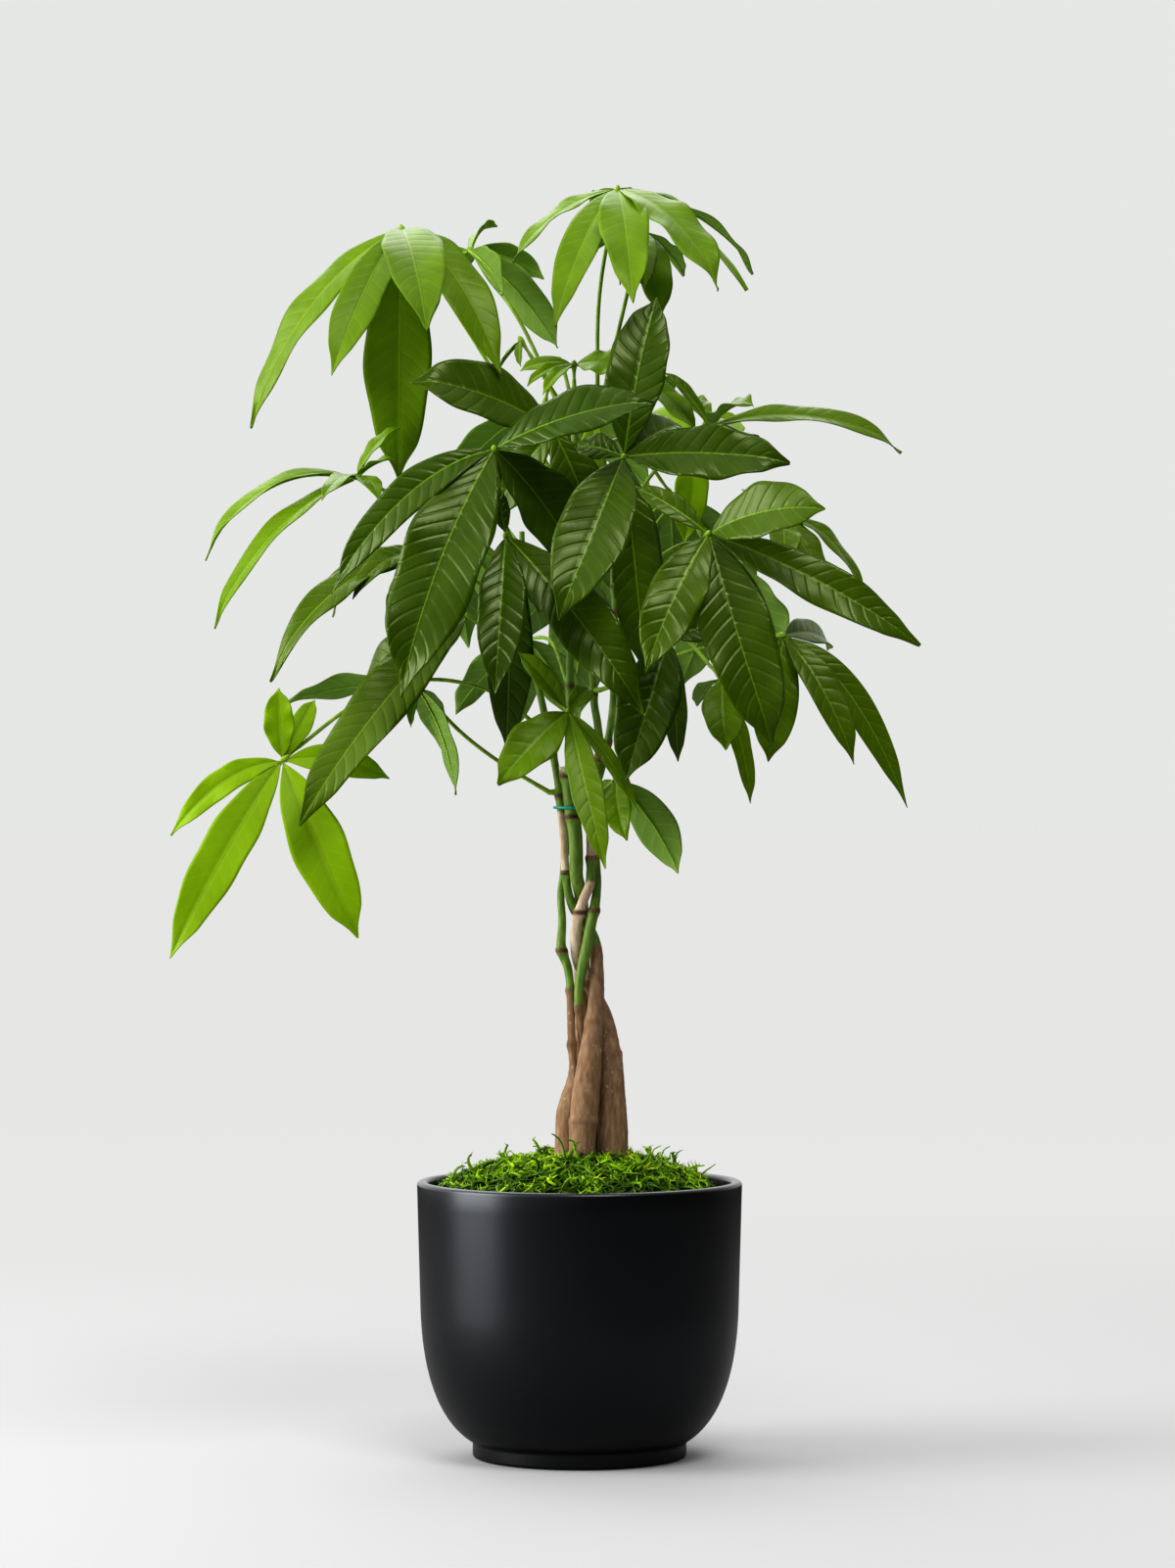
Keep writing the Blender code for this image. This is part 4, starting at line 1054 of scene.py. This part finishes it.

# %% [markdown]
# ## The moss
# The moss is a loose mat of curly strands, bright green with lime and olive ones among them,
# over a bed whose very dark green is painted shade for the deep gaps between them. The strands
# are also painted darker towards their low ends, as painted shade inside the mat. Thousands of
# strands could be grown one by one, but a few small tufts, each drawn once and then copied with
# a new turn, size and tone, look just as wild.

# %% Mix the moss
def moss_finish(name, *stops):
    moss = Finish(name)
    # The numbers read here hold each strand's own tone, with painted shade low in the mat.
    tone = moss.add("Attribute", {"attribute_name": "tone"}).outputs["Fac"]
    fuzz = moss.noise(700, 3)
    shade = moss.sum("MULTIPLY_ADD", fuzz, 0.24, moss.sum("SUBTRACT", tone, 0.18))
    return moss.surface(moss.ramp(shade, *stops), 0.6, fuzz, 0.5, 0.0006, 0.2, (0.9, 1.0, 0.6))


STRAND_GREEN = moss_finish(
    "moss_strands", (0.0, (0.012, 0.030, 0.001)), (0.30, (0.065, 0.15, 0.001)),
    (0.55, (0.22, 0.42, 0.002)), (0.82, (0.46, 0.66, 0.006)), (1.0, (0.30, 0.20, 0.05)))
# Painted shade: the bed's very dark green stands for the shade deep in the gaps between the tufts.
BED_PAINTED_SHADE = moss_finish("moss_bed", (0.0, (0.010, 0.014, 0.002)), (1.0, (0.040, 0.070, 0.003)))
print(STRAND_GREEN.name, BED_PAINTED_SHADE.name)

# %% [markdown]
# The bed is a low mound raised like the pot, with its skin pushed into lumps. Its very dark green
# is painted shade for the gaps between the tufts.

# %% Raise the bed of moss
MOUND = ((0, 165), (28, 163.5), (52, 158.5), (70, 151), (79, 144.5))
MOUND_FOOT = 142 * MM
MOUND_EDGE = ((60 * MM, 140.6 * MM), (78.4 * MM, 141 * MM))
LUMP_HEIGHT, BED_DROP = 2.6, 2


def mound_height(radius):
    radii, heights = zip(*MOUND)
    return float(np.interp(radius, radii, heights))


def mound_profile():
    top = [(r * MM, mound_height(r) * MM) for r in range(79, 1, -3)]
    return [*MOUND_EDGE, *top]


bed = raised("moss_bed", mound_profile(), 120)
tone = bed.data.attributes.new("tone", "FLOAT", "POINT")
for vert, mark in zip(bed.data.vertices, tone.data):
    lump = noise.fractal(vert.co * 130, 0.9, 2.2, 4)
    mark.value = 0.5 + lump
    if vert.co.z > MOUND_FOOT:
        vert.co.z += (LUMP_HEIGHT * lump - BED_DROP) * MM
bpy.ops.object.shade_smooth_by_angle(angle=math.radians(70))
in_place(bed, "green_moss", "moss_top", finish=BED_PAINTED_SHADE)

# %% [markdown]
# A strand wanders: its heading drifts as it goes, it climbs a little and then falls back,
# and it bears a few short side shoots. Most lie flat, and a few stand up and curl over.
# Six low tufts and two tall ones are drawn, and then laid over the mound, tilted with it.

# %% Draw the tufts and strew them
TUFT_KINDS = 6
STRANDS = 8
STRAND_POINTS = 7
WHISKERS = 3
STRAND_SIDES = 4
TUFTS = 205
TALL_KINDS = 2
TALL_TUFTS = 17
TALL_STRANDS = 3
MOSS_REACH = 72  # millimetres from the middle to the outermost tufts
GOLDEN_ANGLE = 137.5  # turned by this each time, no two tufts fall in line


def strand(dice, tall):
    heading, curl = dice.uniform(0, 2 * math.pi), dice.choice((-1, 1)) * dice.uniform(0.15, 0.75)
    x, y, z = dice.uniform(-6, 6), dice.uniform(-6, 6), -2.0
    climb = dice.uniform(2.8, 4.2) if tall else dice.uniform(0.9, 2.1)
    stride = dice.uniform(1.0, 2.0) if tall else dice.uniform(2.0, 3.2)
    thick = dice.uniform(0.5, 1.05)
    route = []
    for i in range(STRAND_POINTS):
        route.append((x, y, z, thick * (1 - 0.75 * (i / STRAND_POINTS) ** 2)))
        heading += curl + dice.uniform(-0.35, 0.35)
        x += stride * math.cos(heading)
        y += stride * math.sin(heading)
        z += climb
        climb -= dice.uniform(0.35, 0.95)
    return route


def whisker(dice, route):
    """A short side shoot from somewhere along a strand."""
    x, y, z, thick = dice.choice(route[1:-1])
    heading = dice.uniform(0, 2 * math.pi)
    stride, climb = dice.uniform(1.1, 1.9), dice.uniform(0.2, 1.7)
    shoot = [(x, y, z, thick * 0.7)]
    for i in range(1, 3):
        heading += dice.uniform(-0.7, 0.7)
        x, y, z = x + stride * math.cos(heading), y + stride * math.sin(heading), z + climb
        shoot.append((x, y, z, thick * (0.62 - 0.24 * i)))
    return shoot


def draw_tuft(kind):
    dice = random.Random(100 + kind)
    routes, shades = [], []
    for _ in range(STRANDS if kind < TUFT_KINDS else TALL_STRANDS):
        route = strand(dice, kind >= TUFT_KINDS)
        side_shoots = [whisker(dice, route) for _ in range(WHISKERS)]
        shade = min(dice.gauss(0.55, 0.22), 1.1)
        routes += [route, *side_shoots]
        shades += [shade] * len(route) + [shade + 0.08] * sum(map(len, side_shoots))
    tuft = rods("tuft", routes, STRAND_SIDES)
    tones = np.repeat(shades, STRAND_SIDES)
    depth = np.array([v.co.z for v in tuft.data.vertices]) / MM
    # Painted shade: each strand is made darker towards its low end, as if shaded deep in the mat.
    tones = tones * (0.35 + 0.65 * smooth_step(-1, 5, depth))
    tuft.data.attributes.new("tone", "FLOAT", "POINT").data.foreach_set("value", tones)
    tuft.data.polygons.foreach_set("use_smooth", [True] * len(tuft.data.polygons))
    tuft.data.materials.append(STRAND_GREEN)
    return tuft


def strew(tufts, count):
    dice = random.Random(7 + count)
    strewn = []
    for i in range(count):
        radius = MOSS_REACH * math.sqrt((i + 0.5) / count) + dice.uniform(-2, 2)
        angle = i * math.radians(GOLDEN_ANGLE) + dice.uniform(-0.2, 0.2)
        slope = (mound_height(radius + 4) - mound_height(max(radius - 4, 0))) / 8
        place = Vector((radius * math.cos(angle), radius * math.sin(angle), mound_height(radius)))
        place.z += 1 + 3 * noise.noise(place * 0.07)
        normal = Vector((-slope * math.cos(angle), -slope * math.sin(angle), 1)).normalized()
        copy = dice.choice(tufts).copy()
        copy.data = copy.data.copy()
        bpy.context.collection.objects.link(copy)
        copy.rotation_mode = "QUATERNION"
        spin = Quaternion((0, 0, 1), dice.uniform(0, 2 * math.pi))
        copy.rotation_quaternion = normal.to_track_quat("Z", "Y") @ spin
        copy.location = place * MM
        copy.scale = [dice.uniform(0.8, 1.15)] * 3
        patch = noise.noise(place * 0.045) * 0.35
        for mark in copy.data.attributes["tone"].data:
            mark.value += patch
        strewn.append(copy)
    return strewn


tufts = [draw_tuft(kind) for kind in range(TUFT_KINDS + TALL_KINDS)]
strewn = strew(tufts[:TUFT_KINDS], TUFTS) + strew(tufts[TUFT_KINDS:], TALL_TUFTS)
strands = joined("moss_strands", strewn)
for tuft in tufts:
    bpy.data.objects.remove(tuft)
in_place(strands, "green_moss")

# %% [markdown]
# ## Sizes
# The finished plant must keep the size of the plain solids, so both boxes are printed
# side by side.

# %% Print both boxes
boxes = {"cad": [list(corner) for corner in cad_box],
         "visual": [list(corner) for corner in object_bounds()]}
for label, (low, high) in boxes.items():
    print(label, [round(1000 * v, 1) for v in (*low, *high)])
